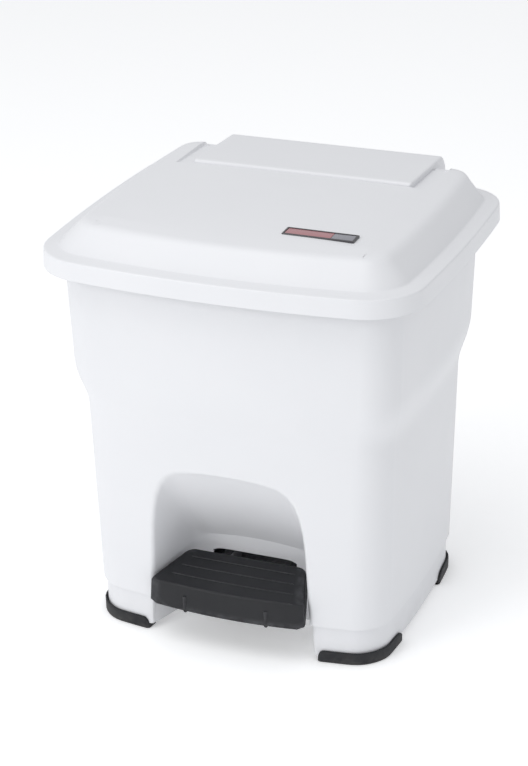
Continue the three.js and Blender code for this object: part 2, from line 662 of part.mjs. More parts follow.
function rodGuide(z) {
  const { half, height } = GUIDE;
  const piece = block(-half, half, RIM_REAR - 70, rodY + ROD_R + 3, z - height / 2, z + height / 2);
  return piece.subtract(bodyShape(-GAP, 0)).subtract(barZ(z - 20, z + 20, 0, rodY, ROD_R + RUN));
}

const ductScrews = [-1, 1].flatMap((side) => DUCT_SCREW.heights.map((z) => ({ x: side * DUCT_SCREW.x, z })));

function rearCover() {
  const { half, wall, bottom, top } = DUCT;
  const rear = ductRear;
  const outside = block(-half, half, RIM_REAR - 80, rear, bottom, top);
  const inside = block(-half + wall, half - wall, RIM_REAR - 90, rear - wall, bottom + wall, top + 1);
  let cover = outside.subtract(inside);
  for (const { x, z } of ductScrews) cover = cover.add(barY(RIM_REAR - 70, rear - 1, x, z, DUCT_SCREW.post));
  cover = cover.subtract(bodyShape(-GAP, 60));
  for (const { x, z } of ductScrews) {
    cover = cover.subtract(barY(RIM_REAR - 75, rear + 1, x, z, SCREW_R + GAP));
  }
  return cover;
}

function ductScrew({ x, z }) {
  const shank = barY(ductRear - 14, ductRear + 1, x, z, SCREW_R);
  return barY(ductRear + GAP, ductRear + 2.2, x, z, SCREW_HEAD_R).add(shank);
}

// ---- pedal ----
// the tread seen from above: bowed front edge, sides that run in towards the back, round back corners
function treadPlan(shrink) {
  const { front, bow, back, frontHalf, backHalf, corner } = TREAD;
  const f = front + shrink;
  const b = back - shrink;
  const fh = frontHalf - shrink;
  const bh = backHalf - shrink;
  const lean = (fh - bh) / (b - f);
  const plan = new THREE.Shape();
  plan.moveTo(-fh, f + 2);
  plan.quadraticCurveTo(-fh, f, -fh + 3, f);
  plan.quadraticCurveTo(0, f - 2 * bow, fh - 3, f);
  plan.quadraticCurveTo(fh, f, fh, f + 2);
  plan.lineTo(bh + lean * corner, b - corner);
  plan.quadraticCurveTo(bh, b, bh - corner, b);
  plan.lineTo(-bh + corner, b);
  plan.quadraticCurveTo(-bh, b, -bh - lean * corner, b - corner);
  return plan;
}

function treadPlane(frontZ, backZ) {
  return (y) => THREE.MathUtils.mapLinear(y, TREAD.front, TREAD.back, frontZ, backZ);
}
const treadTop = treadPlane(TREAD_HEIGHT.front, TREAD_HEIGHT.back);
const treadBottom = treadPlane(TREAD_HEIGHT.frontBottom, TREAD_HEIGHT.backBottom);

function treadShape(shrink, drop) {
  const upward = { depth: 100, bevelEnabled: false, curveSegments: 6 };
  const tall = solid(new THREE.ExtrudeGeometry(treadPlan(shrink), upward));
  const [y0, y1] = [TREAD.front - 40, TREAD.back + 40];
  const wedge = [
    [y0, drop ? 0 : treadBottom(y0)],
    [y1, drop ? 0 : treadBottom(y1)],
    [y1, treadTop(y1) - drop],
    [y0, treadTop(y0) - drop],
  ];
  return tall.intersect(plateX(wedge, -120, 120));
}

const treadScrews = [-1, 1].map((side) => ({ x: side * BAR.x, y: TREAD.front + 16 }));

function pedalTread() {
  const { x, thick, top } = BAR;
  const { front, frontBottom } = TREAD_HEIGHT;
  const shell = treadShape(0, 0).subtract(treadShape(TREAD_WALL, TREAD_WALL));
  const slot = (side) => {
    const [x0, x1] = span(side, x - thick / 2 - GAP, x + thick / 2 + GAP);
    return block(x0, x1, TREAD.back - 20, TREAD.back + 20, TREAD_HEIGHT.frontBottom - 20, top + GAP);
  };
  const rib = (side) => {
    const [x0, x1] = span(side, x + thick / 2 + GAP, x + thick / 2 + 5);
    const under = [
      [TREAD.front + 3, TREAD_HEIGHT.frontBottom + 4],
      [TREAD.back - 8, TREAD_HEIGHT.backBottom - 4],
      [TREAD.back - 8, treadTop(TREAD.back - 8) - 1],
      [TREAD.front + 3, treadTop(TREAD.front + 3) - 1],
    ];
    return plateX(under, x0, x1);
  };
  const nubY = TREAD.front + NUB.back;
  const nub = (side) => barZ(frontBottom - 2.5, front - 4, side * NUB.x, nubY, NUB.radius, 10);
  let tread = shell.add(both(rib)).add(both(nub)).subtract(both(slot));
  for (const s of treadScrews) {
    tread = tread.subtract(block(s.x - 8, s.x + 8, s.y - 3.4, s.y + 3.4, top - 9.4, top - 2.6));
  }
  return tread;
}

// steel frame: two side bars that carry the tread, a cross bar and a central tongue to the push rod
function pedalLever() {
  const { x, thick, height, top } = BAR;
  const { y, z } = PEDAL_AXIS;
  const z0 = top - height;
  const cross = y + 26;
  const bar = (side) => {
    const [x0, x1] = span(side, x - thick / 2, x + thick / 2);
    const strip = block(x0, x1, TREAD.front + 7, cross, z0, top - 5);
    const rise = block(x0, x1, TREAD.front + 26, cross, z0, top);
    return strip.add(rise).add(barX(x0, x1, y, z, BUSH.flange + 2));
  };
  const tongue = (side) => {
    const [x0, x1] = span(side, TONGUE.x - TONGUE.thick / 2, TONGUE.x + TONGUE.thick / 2);
    return block(x0, x1, cross - 1, LEVER_Y, z0, top).add(barX(x0, x1, LEVER_Y, leverPinZ, height / 2));
  };
  const yoke = block(-x - thick / 2, x + thick / 2, cross - 3, cross, z0, top);
  let lever = both(bar).add(both(tongue)).add(yoke);
  lever = lever.subtract(barX(-60, 60, y, z, BUSH.outer + GAP));
  lever = lever.subtract(barX(-60, 60, LEVER_Y, leverPinZ, LEVER_PIN_R + GAP));
  for (const s of treadScrews) lever = lever.subtract(barX(s.x - 9, s.x + 9, s.y, top - 6, SCREW_R + GAP, 8));
  return lever;
}

function treadScrew({ x, y }) {
  const z = BAR.top - 6;
  const out = Math.sign(x);
  const face = BAR.x - BAR.thick / 2 - GAP;
  const head = barX(...span(out, face - 2, face), y, z, SCREW_HEAD_R - 1, 12);
  return head.add(barX(...span(out, face - 1, BAR.x + 6), y, z, SCREW_R, 8));
}

function pedalBush(side) {
  const { x, thick } = BAR;
  const { y, z } = PEDAL_AXIS;
  const sleeve = barX(...span(side, x - thick / 2 - 2, x + thick / 2 + 1.8), y, z, BUSH.outer);
  const flange = barX(...span(side, x - thick / 2 - 2 - GAP, x - thick / 2 - GAP), y, z, BUSH.flange);
  return sleeve.add(flange).subtract(barX(-60, 60, y, z, AXLE_R + RUN));
}

function axleClip(side) {
  const face = BEARING.outer + GAP;
  const { y, z } = PEDAL_AXIS;
  const disc = barX(...span(side, face, face + 1.2), y, z, AXLE_R + 3, 14);
  return disc.subtract(barX(-AXLE_HALF, AXLE_HALF, y, z, AXLE_R + GAP));
}

// ---- the assembly ----
const group = new THREE.Group();

function place(name, made, material) {
  const { vertProperties, triVerts } = made.getMesh();
  const geometry = new THREE.BufferGeometry();
  geometry.setAttribute("position", new THREE.BufferAttribute(vertProperties, 3));
  geometry.setIndex(new THREE.BufferAttribute(triVerts, 1));
  geometry.computeVertexNormals();
  const mesh = new THREE.Mesh(geometry, material);
  mesh.name = name;
  group.add(mesh);
}

// one numbered node for each screw in a list
function placeScrews(name, list, make) {
  list.forEach((where, k) => place(`${name}_${k + 1}`, make(where), finish(STEEL, 0.35, 1)));
}

place("outer_body", outerBody(), finish(WHITE, 0.45));
place("base_frame", baseFrame(), finish(WHITE, 0.5));
for (const [side, hand] of [[-1, "left"], [1, "right"]]) {
  place(`foot_front_${hand}`, foot(side, true), finish(BLACK, 0.8));
  place(`foot_rear_${hand}`, foot(side, false), finish(BLACK, 0.8));
  place(`hinge_bracket_${hand}`, hingeBracket(side), finish(WHITE, 0.5));
  place(`lid_buffer_${hand}`, lidBuffer(side), finish(GREY, 0.8));
  place(`pedal_bush_${hand}`, pedalBush(side), finish(WHITE, 0.5));
  place(`axle_clip_${hand}`, axleClip(side), finish(STEEL, 0.3, 1));
}
placeScrews("foot_screw", footScrews, footScrew);
placeScrews("bracket_screw", bracketScrews, bracketScrew);
place("inner_bucket", innerBucket(), finish(GREY, 0.5));
place("bag_ring", bagRing(), finish(BLACK, 0.5));

place("lid_shell", lidShell(), finish(WHITE, 0.45));
place("hinge_hood", hingeHood(), finish(WHITE, 0.45));
placeScrews("hood_screw", hoodScrews, hoodScrew);
place("badge_frame", badgeFrame(), finish(0x33343a, 0.35));
place("badge_insert", badgeInsert(), finish(0x9a8488, 0.4));
const shaftHalf = HOOD_HALF_WIDTH - 0.8;
place("hinge_shaft", barX(-shaftHalf, shaftHalf, AXIS.y, AXIS.z, SHAFT_R), finish(STEEL, 0.3, 1));
place("crank_arm", crankArm(), finish(STEEL, 0.4, 1));
const pinHalf = ROD_HEAD_HALF + CHEEK_THICK + 1.6;
const pin = barX(-pinHalf, pinHalf, crankPin.y, crankPin.z, CRANK_PIN_R, 12);
place("crank_pin", pin, finish(STEEL, 0.3, 1));

place("push_rod", barZ(rodBottom + GAP, rodTop - GAP, 0, rodY, ROD_R), finish(STEEL, 0.3, 1));
place("rod_head", rodHead(), finish(BLACK, 0.5));
place("rod_foot", rodFoot(), finish(BLACK, 0.5));
place("rod_collar", rodCollar(), finish(BLACK, 0.5));
place("return_spring", returnSpring(), finish(STEEL, 0.3, 1));
place("damper_piston", damperPiston(), finish(STEEL, 0.3, 1));
place("damper_cylinder", damperCylinder(), finish(BLACK, 0.4));
place("rod_guide_upper", rodGuide(GUIDE.upper), finish(WHITE, 0.5));
place("rod_guide_lower", rodGuide(GUIDE.lower), finish(WHITE, 0.5));
place("rear_cover", rearCover(), finish(WHITE, 0.5));
placeScrews("cover_screw", ductScrews, ductScrew);

place("pedal_tread", pedalTread(), finish(BLACK, 0.55));
place("pedal_lever", pedalLever(), finish(STEEL, 0.4, 1));
placeScrews("tread_screw", treadScrews, treadScrew);
const leverPin = barX(-TONGUE.x - 4, TONGUE.x + 4, LEVER_Y, leverPinZ, LEVER_PIN_R, 12);
place("lever_pin", leverPin, finish(STEEL, 0.3, 1));
const axle = barX(-AXLE_HALF, AXLE_HALF, PEDAL_AXIS.y, PEDAL_AXIS.z, AXLE_R);
place("pedal_axle", axle, finish(STEEL, 0.3, 1));

export default group;
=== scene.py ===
"""The looks of a white pedal bin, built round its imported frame: smooth mouldings, rubber feet, a ribbed black
pedal, steel linkage and procedural finishes, on a pale studio floor."""
import math

import bmesh
import bpy
import numpy as np
from mathutils import Matrix, Vector


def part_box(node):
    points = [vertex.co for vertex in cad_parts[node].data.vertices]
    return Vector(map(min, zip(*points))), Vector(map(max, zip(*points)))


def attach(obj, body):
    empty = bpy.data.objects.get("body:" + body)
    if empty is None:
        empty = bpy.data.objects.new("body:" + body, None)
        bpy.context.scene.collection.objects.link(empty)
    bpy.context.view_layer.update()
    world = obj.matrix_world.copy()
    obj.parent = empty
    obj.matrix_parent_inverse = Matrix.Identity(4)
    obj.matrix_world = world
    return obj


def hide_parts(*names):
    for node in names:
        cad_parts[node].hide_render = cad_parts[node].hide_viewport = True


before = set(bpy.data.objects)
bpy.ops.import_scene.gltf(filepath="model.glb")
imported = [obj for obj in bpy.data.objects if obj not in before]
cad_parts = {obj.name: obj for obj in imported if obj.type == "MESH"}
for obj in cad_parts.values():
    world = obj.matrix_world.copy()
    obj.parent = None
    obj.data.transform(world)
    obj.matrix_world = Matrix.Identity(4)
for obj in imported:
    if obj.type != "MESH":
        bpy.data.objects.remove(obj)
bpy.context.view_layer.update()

# ---- sizes in millimetres, as in the part ----
MM = 0.001
GAP = 0.3
RIM_HALF, RIM_FRONT, RIM_REAR = 188.4, 163.5, 163.0
SIDE_BOW, FRONT_BOW = 6.6, 15.5
REAR_TAPER = 1.324
BODY_CORNER, BODY_WALL = 28.0, 3.0
BODY_LEVELS = [(36.0, 39.2), (31.5, 242.5), (22.9, 273.0), (19.4, 386.0)]  # inset and height
BODY_FOOT, FRONT_TOP = BODY_LEVELS[0][1], 231.0
SKIRT_INSET, SKIRT_BOTTOM, BASE_WALL = 38.5, 5.6, 3.0
FLOOR_Z, FLOOR_THICK = 20.0, 3.5
MOUTH = dict(foot=88.0, side=80.5, side_z=124.0, top=40.0, top_z=188.2, crown_z=190.0)
BACK = dict(foot=68.0, side=65.0, side_z=73.0, top=47.0, top_z=85.5, crown_z=88.5)
MOUTH_Y, BACK_Y = -143.5, -73.0
FILLET_ACROSS, FILLET_DEEP = 15.0, 12.0  # of the recess's rear corners
RECESS_LIP, LIP_DEPTH = 3.2, 1.2  # the mouth's rounded lip, and its depth as a share of its width
SLOT_HALF, SLOT_LOW, SLOT_HIGH, SLOT_CORNER = 45.5, 33.0, 70.3, 3.0
REAR_SLOT_HALF, REAR_SLOT_LOW, REAR_SLOT_HIGH = 16.0, 46.0, 95.0  # behind, where the lever meets the rod
LID_WALL = 2.6
LID_BOTTOM, RIM_TOP, LEDGE_Z, PANEL_EDGE_Z, PANEL_Z = 384.0, 402.2, 404.0, 427.3, 428.0
LEDGE_INSET, PANEL_FOOT_INSET, PANEL_INSET = 15.1, 36.1, 44.0  # the panel's dome starts at the last
PANEL_CORNER = 14.0
DOME_RISE, DOME_REACH, DOME_BLEND = 3.3, 28.0, 50.0
POCKET_HALF, POCKET_FRONT, POCKET_SIDE_RUN, POCKET_FRONT_RUN = 134.9, 62.8, 2.0, 1.6
POCKET_Z, POCKET_FALL = 427.0, 0.033  # the floor's height at the hood's front, and its slope
HINGE_CUT_HALF, HINGE_CUT_Y = 118.5, 135.0
HOOD_HALF, HOOD_FRONT, HOOD_REAR, HOOD_WALL = 116.4, 65.0, 179.0, 2.6
HOOD_FRONT_Z, HOOD_TURN_Y, HOOD_TURN_Z = 433.0, 166.0, 429.3  # its top falls from the front to the turn
HOOD_SHOULDER = 8.0
AXIS_Y, AXIS_Z = 163.0, 401.0
BRACKET_INNER, BRACKET_OUTER, BRACKET_LOW, BRACKET_HIGH = 36.0, 107.0, 338.0, 383.0
BRACKET_THICK, LUG_WIDTH, LUG_RADIUS = 3.2, 8.0, 8.0
DUCT_HALF, DUCT_REAR, DUCT_BOTTOM, DUCT_TOP, DUCT_CORNER = 34.0, 156.0, 14.0, 381.0, 6.0
BUCKET_BOTTOM, BUCKET_TOP, BUCKET_FOOT_INSET, BUCKET_TOP_INSET = 96.0, 389.0, 47.0, 26.0
BUCKET_CORNER, BUCKET_WALL, BUCKET_CLEAR = 24.0, 2.0, 3.5
PEDAL_Y, PEDAL_Z, POST_RADIUS = -14.0, 56.0, 12.0
TREAD_FRONT, TREAD_BACK, TREAD_BOW = -149.5, -91.0, 5.0
TREAD_FRONT_HALF, TREAD_BACK_HALF, TREAD_LINE_HALF = 83.6, 64.5, 82.5
TREAD_TOP, TREAD_UNDER = (66.0, 75.0), (40.5, 56.0)  # at the front and near the back
TREAD_SLOPE_RUN = 55.5
TREAD_EDGE, TREAD_LEAN = 1.7, 1.3  # the top edge's rounding, and how far the sides lean in
BADGE_X, BADGE_Y, BADGE_Z, BADGE_TILT = 81.0, -94.0, 430.25, 0.0367
BADGE_HALF_LONG, BADGE_HALF_WIDE, BADGE_FRAME_EDGE, BADGE_FIELD_EDGE = 35.5, 8.5, 1.8, 2.1


# ---- building skins from rows of points ----
class Skin:
    """Grids of points joined into one surface where their edges meet."""

    def __init__(self):
        self.points, self.faces = [], []

    def grid(self, rows, closed=False, keep=None):
        rows = np.asarray(rows, float)
        high, wide = rows.shape[:2]
        first = len(self.points)
        self.points.extend(map(tuple, rows.reshape(-1, 3)))
        for r in range(high - 1):
            for c in range(wide if closed else wide - 1):
                d = (c + 1) % wide
                if keep is None or keep(rows[r, c], rows[r, d], rows[r + 1, c], rows[r + 1, d]):
                    low, up = first + r * wide, first + (r + 1) * wide
                    self.faces.append((low + c, low + d, up + d, up + c))
        return self

    def fan(self, ring):
        """Closes a ring of points with one face."""
        first = len(self.points)
        self.points.extend(map(tuple, ring))
        self.faces.append(tuple(range(first, first + len(ring))))
        return self

    def add(self, other):
        first = len(self.points)
        self.points += other.points
        self.faces += [tuple(i + first for i in face) for face in other.faces]

    def turn_and_move(self, angle, place):
        turn = Matrix.Rotation(angle, 3, "X")
        self.points = [tuple(np.array(turn @ Vector(p)) + place) for p in self.points]
        return self

    def mesh(self, name):
        mesh = bpy.data.meshes.new(name)
        mesh.from_pydata([(x * MM, y * MM, z * MM) for x, y, z in self.points], [], self.faces)
        bm = bmesh.new()
        bm.from_mesh(mesh)
        bmesh.ops.remove_doubles(bm, verts=bm.verts, dist=2e-5)
        bmesh.ops.dissolve_degenerate(bm, edges=bm.edges, dist=1e-6)
        bmesh.ops.recalc_face_normals(bm, faces=bm.faces)
        widest = max(bm.faces, key=lambda f: f.calc_center_median().x + 0.001 * f.normal.x ** 2)
        if widest.normal.x <= 0:
            bmesh.ops.reverse_faces(bm, faces=bm.faces)
        bm.to_mesh(mesh)
        bm.free()
        return mesh


def linked(name, data):
    obj = bpy.data.objects.new(name, data)
    bpy.context.scene.collection.objects.link(obj)
    return obj


def solid(rings):
    """Closed rings of points joined into a solid with flat ends."""
    return Skin().grid(rings, closed=True).fan(rings[0]).fan(rings[-1])


def piece(name, skin, body, slot, material, nodes=(), wall=0.0, bevel=0.4, sharp=28, even=True):
    """A named piece of the bin: its skin thickened inwards by the wall, its rims rounded by the bevel."""
    mesh = skin.mesh(name)
    mesh.shade_smooth()
    mesh.set_sharp_from_angle(angle=math.radians(sharp))
    obj = linked(name, mesh)
    if wall:
        thick = obj.modifiers.new("wall", "SOLIDIFY")
        thick.thickness = wall * MM
        thick.offset = -1
        thick.use_even_offset = even
    if bevel:
        rims = obj.modifiers.new("rims", "BEVEL")
        rims.width = bevel * MM
        rims.segments = 2
        rims.limit_method = "ANGLE"
        rims.angle_limit = math.radians(50)
        shading = obj.modifiers.new("even_shading", "WEIGHTED_NORMAL")
        shading.keep_sharp = True
    mesh.materials.append(material)
    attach(obj, body)
    if nodes:
        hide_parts(*nodes)
    return obj


def lerp(a, b, t):
    return a + (b - a) * t


def smooth(t):
    t = np.clip(t, 0, 1)
    return t * t * (3 - 2 * t)


def soft_maximum(a, b, blend):
    """The larger of two values, rounded over where they are within the blend of each other."""
    h = np.maximum(blend - np.abs(a - b), 0) / blend
    return np.maximum(a, b) + h * h * blend / 4


def rounded(points, radii, steps=5):
    """A polyline with its inner corners rounded: radii are the lengths cut from each side of a corner."""
    points = [np.array(p, float) for p in points]
    out = [points[0]]
    for before, at, after, radius in zip(points, points[1:], points[2:], radii):
        if radius <= 0:
            out.append(at)
            continue
        a = at + (before - at) / np.linalg.norm(before - at) * radius
        b = at + (after - at) / np.linalg.norm(after - at) * radius
        out += [quadratic(a, at, b, t) for t in np.linspace(0, 1, steps + 1)]
    return np.array(out + [points[-1]])


def quadratic(a, b, c, t):
    return (1 - t) ** 2 * a + 2 * t * (1 - t) * b + t * t * c


def cubic(a, b, c, d, t):
    a, b, c, d = (np.array(p, float) for p in (a, b, c, d))
    return (1 - t) ** 3 * a + 3 * t * (1 - t) ** 2 * b + 3 * t * t * (1 - t) * c + t ** 3 * d


def bezier(a, b, c, steps):
    """Rows of points from just after a to c, pulled towards b."""
    return [quadratic(a, b, c, t) for t in np.linspace(0, 1, steps + 1)[1:]]


def distances(points):
    """How far along a polyline each of its points lies."""
    return np.concatenate([[0], np.cumsum(np.linalg.norm(np.diff(points, axis=0), axis=1))])


def resampled(points, where, at):
    """Points at the distances 'where' along a polyline whose own points lie at 'at'."""
    return np.stack([np.interp(where, at, points[:, k]) for k in (0, 1)], -1)


# ---- the bowed plan outline that lid, body, bucket, base and feet share ----
def bowed(xy, half, front, rear):
    middle, reach = (front + rear) / 2, (rear - front) / 2
    along = np.clip((xy[:, 1] - middle) / reach, -1, 1)
    across = np.clip(xy[:, 0] / half, -1, 1)
    x = xy[:, 0] + SIDE_BOW * across * (1 - along ** 2)
    y = xy[:, 1] - FRONT_BOW * np.maximum(-along, 0) * (1 - across ** 2)
    return np.stack([x, y], 1)


class Plan:
    """Where a ring's columns stand: on the front and rear by x, on the sides by y, and round each corner.
    With fractions they are shares of each straight run, and otherwise millimetres."""

    def __init__(self, front_x, side_y, rear_x=None, arc=8, fractions=True):
        self.front_x, self.side_y = np.array(front_x, float), np.array(side_y, float)
        self.rear_x = self.front_x if rear_x is None else np.array(rear_x, float)
        self.arc, self.fractions = arc, fractions
        self.front_end = len(front_x) + 1  # index of the last point of the front
        self.side_end = self.front_end + 2 * arc + len(side_y) + 1  # index of the first point of the rear

    def flat(self, half, front, rear, corner):
        """The ring before it is bowed, anticlockwise from the left end of the front."""
        s = half - corner
        low, high = front + corner, rear - corner
        scale = s if self.fractions else 1
        fx, rx = self.front_x * scale, self.rear_x * scale
        sy = lerp(low, high, (self.side_y + 1) / 2) if self.fractions else self.side_y
        turn = np.linspace(0, math.pi / 2, self.arc + 1)[1:-1]

        def arc(cx, cy, start):
            return [(cx + corner * math.cos(start + a), cy + corner * math.sin(start + a)) for a in turn]

        pts = [(-s, front), *[(x, front) for x in fx], (s, front)]
        pts += arc(s, low, -math.pi / 2) + [(half, low), *[(half, y) for y in sy], (half, high)]
        pts += arc(s, high, 0) + [(s, rear), *[(x, rear) for x in rx[::-1]], (-s, rear)]
        pts += arc(-s, high, math.pi / 2) + [(-half, high), *[(-half, y) for y in sy[::-1]], (-half, low)]
        pts += arc(-s, low, math.pi)
        return np.array(pts)

    def ring(self, inset, corner, z, taper=1.0):
        half, front, rear = RIM_HALF - inset, -(RIM_FRONT - inset), RIM_REAR - inset * taper
        xy = bowed(self.flat(half, front, rear, corner), half, front, rear)
        return np.column_stack([xy, np.full(len(xy), z)])


def inset_at(z):
    """How far the body's plain taper steps in at a height, without the rounding of its shoulder."""
    levels = np.array(BODY_LEVELS)
    return np.interp(z, levels[:, 1], levels[:, 0])


# ---- the foot recess: an arch that shrinks towards its back wall ----
ARCH_SIDE, ARCH_TURN, ARCH_TOP = 14, 6, 12  # steps up a side, round a turn and over the top
ARCH_FOOT_Z = -20.0  # where the sides have their foot width
TURN_PULLS = (0.09, 0.64), (0.74, 0.02)  # a turn's two inner control points, as shares of its run and rise


def arch_half(size, z):
    """Half the arch's width at a height below its turns."""
    return lerp(size["foot"], size["side"], (z - ARCH_FOOT_Z) / (size["side_z"] - ARCH_FOOT_Z))


def arch_sizes(t, grow=0.0, pull=0.0):
    size = {k: lerp(MOUTH[k], BACK[k] - (pull if k in ("foot", "side") else 0), t) for k in MOUTH}
    for k in ("foot", "side", "top_z", "crown_z"):
        size[k] += grow
    return size


def arch(size, z0):
    """The arch's points from its left foot at z0, over the top and down to its right foot, as x and z."""
    side, side_z, top, top_z = size["side"], size["side_z"], size["top"], size["top_z"]
    run, rise = side - top, top_z - side_z
    up = np.linspace(0, 1, ARCH_SIDE + 1)[:-1]
    left = np.stack([lerp(-arch_half(size, z0), -side, up), lerp(z0, side_z, up)], 1)
    (a, b), (c, d) = TURN_PULLS
    rising, settling = (-side + a * run, side_z + b * rise), (-top - c * run, top_z - d * rise)
    turn = cubic((-side, side_z), rising, settling, (-top, top_z), np.linspace(0, 1, ARCH_TURN + 1)[:-1, None])
    ends = [np.array([x, top_z]) for x in (-top, top)]
    crown = np.array([0, 2 * size["crown_z"] - top_z])
    half_top = quadratic(ends[0], crown, ends[1], np.linspace(0, 0.5, ARCH_TOP // 2 + 1)[:, None])
    left_half = np.concatenate([left, turn, half_top])
    right_half = (left_half * [-1, 1])[-2::-1]
    return np.concatenate([left_half, right_half])


def arch_rows(depths, z0, pull=0.0):
    """One row of recess wall: each column at its own depth y."""
    t = np.clip((depths - MOUTH_Y) / (BACK_Y - MOUTH_Y), 0, 1)
    ends = [arch(arch_sizes(k, pull=pull), z0) for k in (0, 1)]
    xz = lerp(ends[0], ends[1], t[:, None])
    return np.column_stack([xz[:, 0], depths, xz[:, 1]])


def front_y(x, z, inset=None):
    inset = inset_at(z) if inset is None else inset
    half = RIM_HALF - inset
    return -(RIM_FRONT - inset) - FRONT_BOW * (1 - (x / half) ** 2)


def on_front(xz):
    return np.column_stack([xz[:, 0], front_y(xz[:, 0], xz[:, 1]), xz[:, 1]])


def recess_rows(z0):
    """Rows from just outside the mouth's rounded lip, along the recess wall and round onto its back."""
    outer = on_front(arch(arch_sizes(0, RECESS_LIP), z0))
    edge = on_front(arch(arch_sizes(0), z0))
    inner = arch_rows(edge[:, 1] + LIP_DEPTH * RECESS_LIP, z0)
    rows = [outer] + bezier(outer, edge, inner, 5)
    turn_y = np.full(len(inner), BACK_Y - FILLET_DEEP)
    for v in np.linspace(0, 1, 9)[1:]:
        rows.append(arch_rows(lerp(inner[:, 1], turn_y, v), z0))
    back = np.full(len(inner), BACK_Y)
    corner, landed = arch_rows(back, z0), arch_rows(back, z0, pull=FILLET_ACROSS)
    rows += bezier(rows[-1], corner, landed, 5)
    return rows


def slot_path(z0):
    up = np.linspace(0, 1, ARCH_SIDE + 1)
    over = np.linspace(-1, 1, 2 * ARCH_TURN + ARCH_TOP + 1)[1:-1]
    soft = SLOT_HIGH - SLOT_CORNER * np.abs(over) ** 12
    left = np.stack([np.full(len(up), -SLOT_HALF), lerp(z0, SLOT_HIGH - SLOT_CORNER, up)], 1)
    top = np.stack([over * (SLOT_HALF - 1), soft], 1)
    return np.concatenate([left, top, (left * [-1, 1])[::-1]])


# ---- outer body ----
REAR_X = [-0.85, -0.6, -0.35, -0.129, 0, 0.129, 0.35, 0.6, 0.85]
BODY_PLAN = Plan(np.linspace(-1, 1, 25)[1:-1], np.linspace(-1, 1, 17)[1:-1], REAR_X)
LOW_ROWS = [BODY_FOOT, REAR_SLOT_LOW, 57, 70, 83, REAR_SLOT_HIGH, *range(110, 201, 15), 215, FRONT_TOP]
SHOULDER_ROUNDING = [9.5, 13]


def body_ring(inset, z):
    return BODY_PLAN.ring(inset, BODY_CORNER, z, REAR_TAPER)


def outer_body():
    skin = Skin()
    low = np.array([body_ring(inset_at(z), z) for z in LOW_ROWS])
    rest = np.concatenate([low[:, BODY_PLAN.front_end:], low[:, :1]], 1)

    def clear_of_slot(*corners):
        x, y, z = np.mean(corners, 0)
        return not (y > 0 and abs(x) < REAR_SLOT_HALF and REAR_SLOT_LOW < z < REAR_SLOT_HIGH)

    skin.grid(rest, keep=clear_of_slot)
    profile = rounded([(inset_at(FRONT_TOP), FRONT_TOP), *BODY_LEVELS[1:]], SHOULDER_ROUNDING, 6)
    skin.grid([body_ring(inset, z) for inset, z in profile], closed=True)

    left = low[:, 0]
    top = low[-1, 1:BODY_PLAN.front_end]
    right = low[::-1, BODY_PLAN.front_end]
    border = np.concatenate([left, top, right])
    rows = recess_rows(BODY_FOOT)
    panel = []
    for t in (1, 0.8, 0.58, 0.36, 0.16):
        row = lerp(rows[0], border, t)
        row[:, 1] = np.where(t == 1, border[:, 1], front_y(row[:, 0], row[:, 2]))
        panel.append(row)
    slot = slot_path(BODY_FOOT)
    slot = np.column_stack([slot[:, 0], np.full(len(slot), BACK_Y), slot[:, 1]])
    strip = [lerp(rows[-1], slot, t) for t in (0.33, 0.67, 1)]
    skin.grid(panel + rows + strip)
    return skin


# ---- base: skirt, floor and bearing posts ----
BASE_LIP = 4.2


def base_path(z, shrink=0.0):
    """The base's closed outline at a height: round the skirt, then in along the recess and its back wall."""
    inset = SKIRT_INSET + shrink
    ring = BODY_PLAN.ring(inset, BODY_CORNER, z, REAR_TAPER)
    mouth, back = arch_half(MOUTH, z) + shrink, arch_half(BACK, z) + shrink
    mouth_y, back_y = front_y(mouth, z, inset), BACK_Y + shrink
    far = ring[BODY_PLAN.front_end:]
    start = mouth + BASE_LIP
    xs = np.linspace(start, far[0][0], 6)[:-1]
    near = np.stack([xs, front_y(xs, z, inset), np.full(5, z)], 1)
    lip = [(start, front_y(start, z, inset)), (mouth, mouth_y), (mouth - 0.4, mouth_y + 5)]
    lip = rounded(lip, [BASE_LIP - 0.2], 4)[1:]
    last = 1 - FILLET_DEEP / (back_y - mouth_y)
    wall = [(lerp(mouth, back, v), lerp(mouth_y, back_y, v)) for v in np.linspace(0.14, last, 6)]
    corner, landed = np.array([back, back_y]), np.array([back - FILLET_ACROSS, back_y])
    turn = bezier(np.array(wall[-1]), corner, landed, 6)
    half = np.concatenate([lip, wall, turn, [(SLOT_HALF, back_y), (20, back_y)]])
    half = np.column_stack([half, np.full(len(half), z)])
    in_right = np.concatenate([[(0, back_y, z)], half[::-1], near])
    flip = (in_right * [-1, 1, 1])[:0:-1]
    return np.concatenate([in_right, far, ring[:1], flip])


def base_skirt():
    def clear_of_slot(*corners):
        x, y, z = np.mean(corners, 0)
        return not (abs(x) < SLOT_HALF and BACK_Y - 4 < y < BACK_Y + 30 and z > SLOT_LOW)

    heights = [SKIRT_BOTTOM, 12, FLOOR_Z, 27, SLOT_LOW, 36, BODY_FOOT - GAP]
    return Skin().grid([base_path(z) for z in heights], closed=True, keep=clear_of_slot)


def base_floor():
    return solid([base_path(z, BASE_WALL + 0.2) for z in (FLOOR_Z, FLOOR_Z + FLOOR_THICK)])


def inner_lip():
    """The low wall inside the body that centres it on the base, left out round the recess."""
    shrink = BODY_LEVELS[0][0] + BODY_WALL + 1 - SKIRT_INSET

    def clear_of_recess(*corners):
        x, y, _ = np.mean(corners, 0)
        return abs(x) > MOUTH["foot"] + 4 or y > 0

    rows = [base_path(z, shrink) for z in (FLOOR_Z + 3, 34, 47)]
    return Skin().grid(rows, closed=True, keep=clear_of_recess)


def slab(outline, x0, x1):
    """A flat outline in the YZ plane made solid from x0 to x1."""
    return solid([[(x, y, z) for y, z in outline] for x in (x0, x1)])


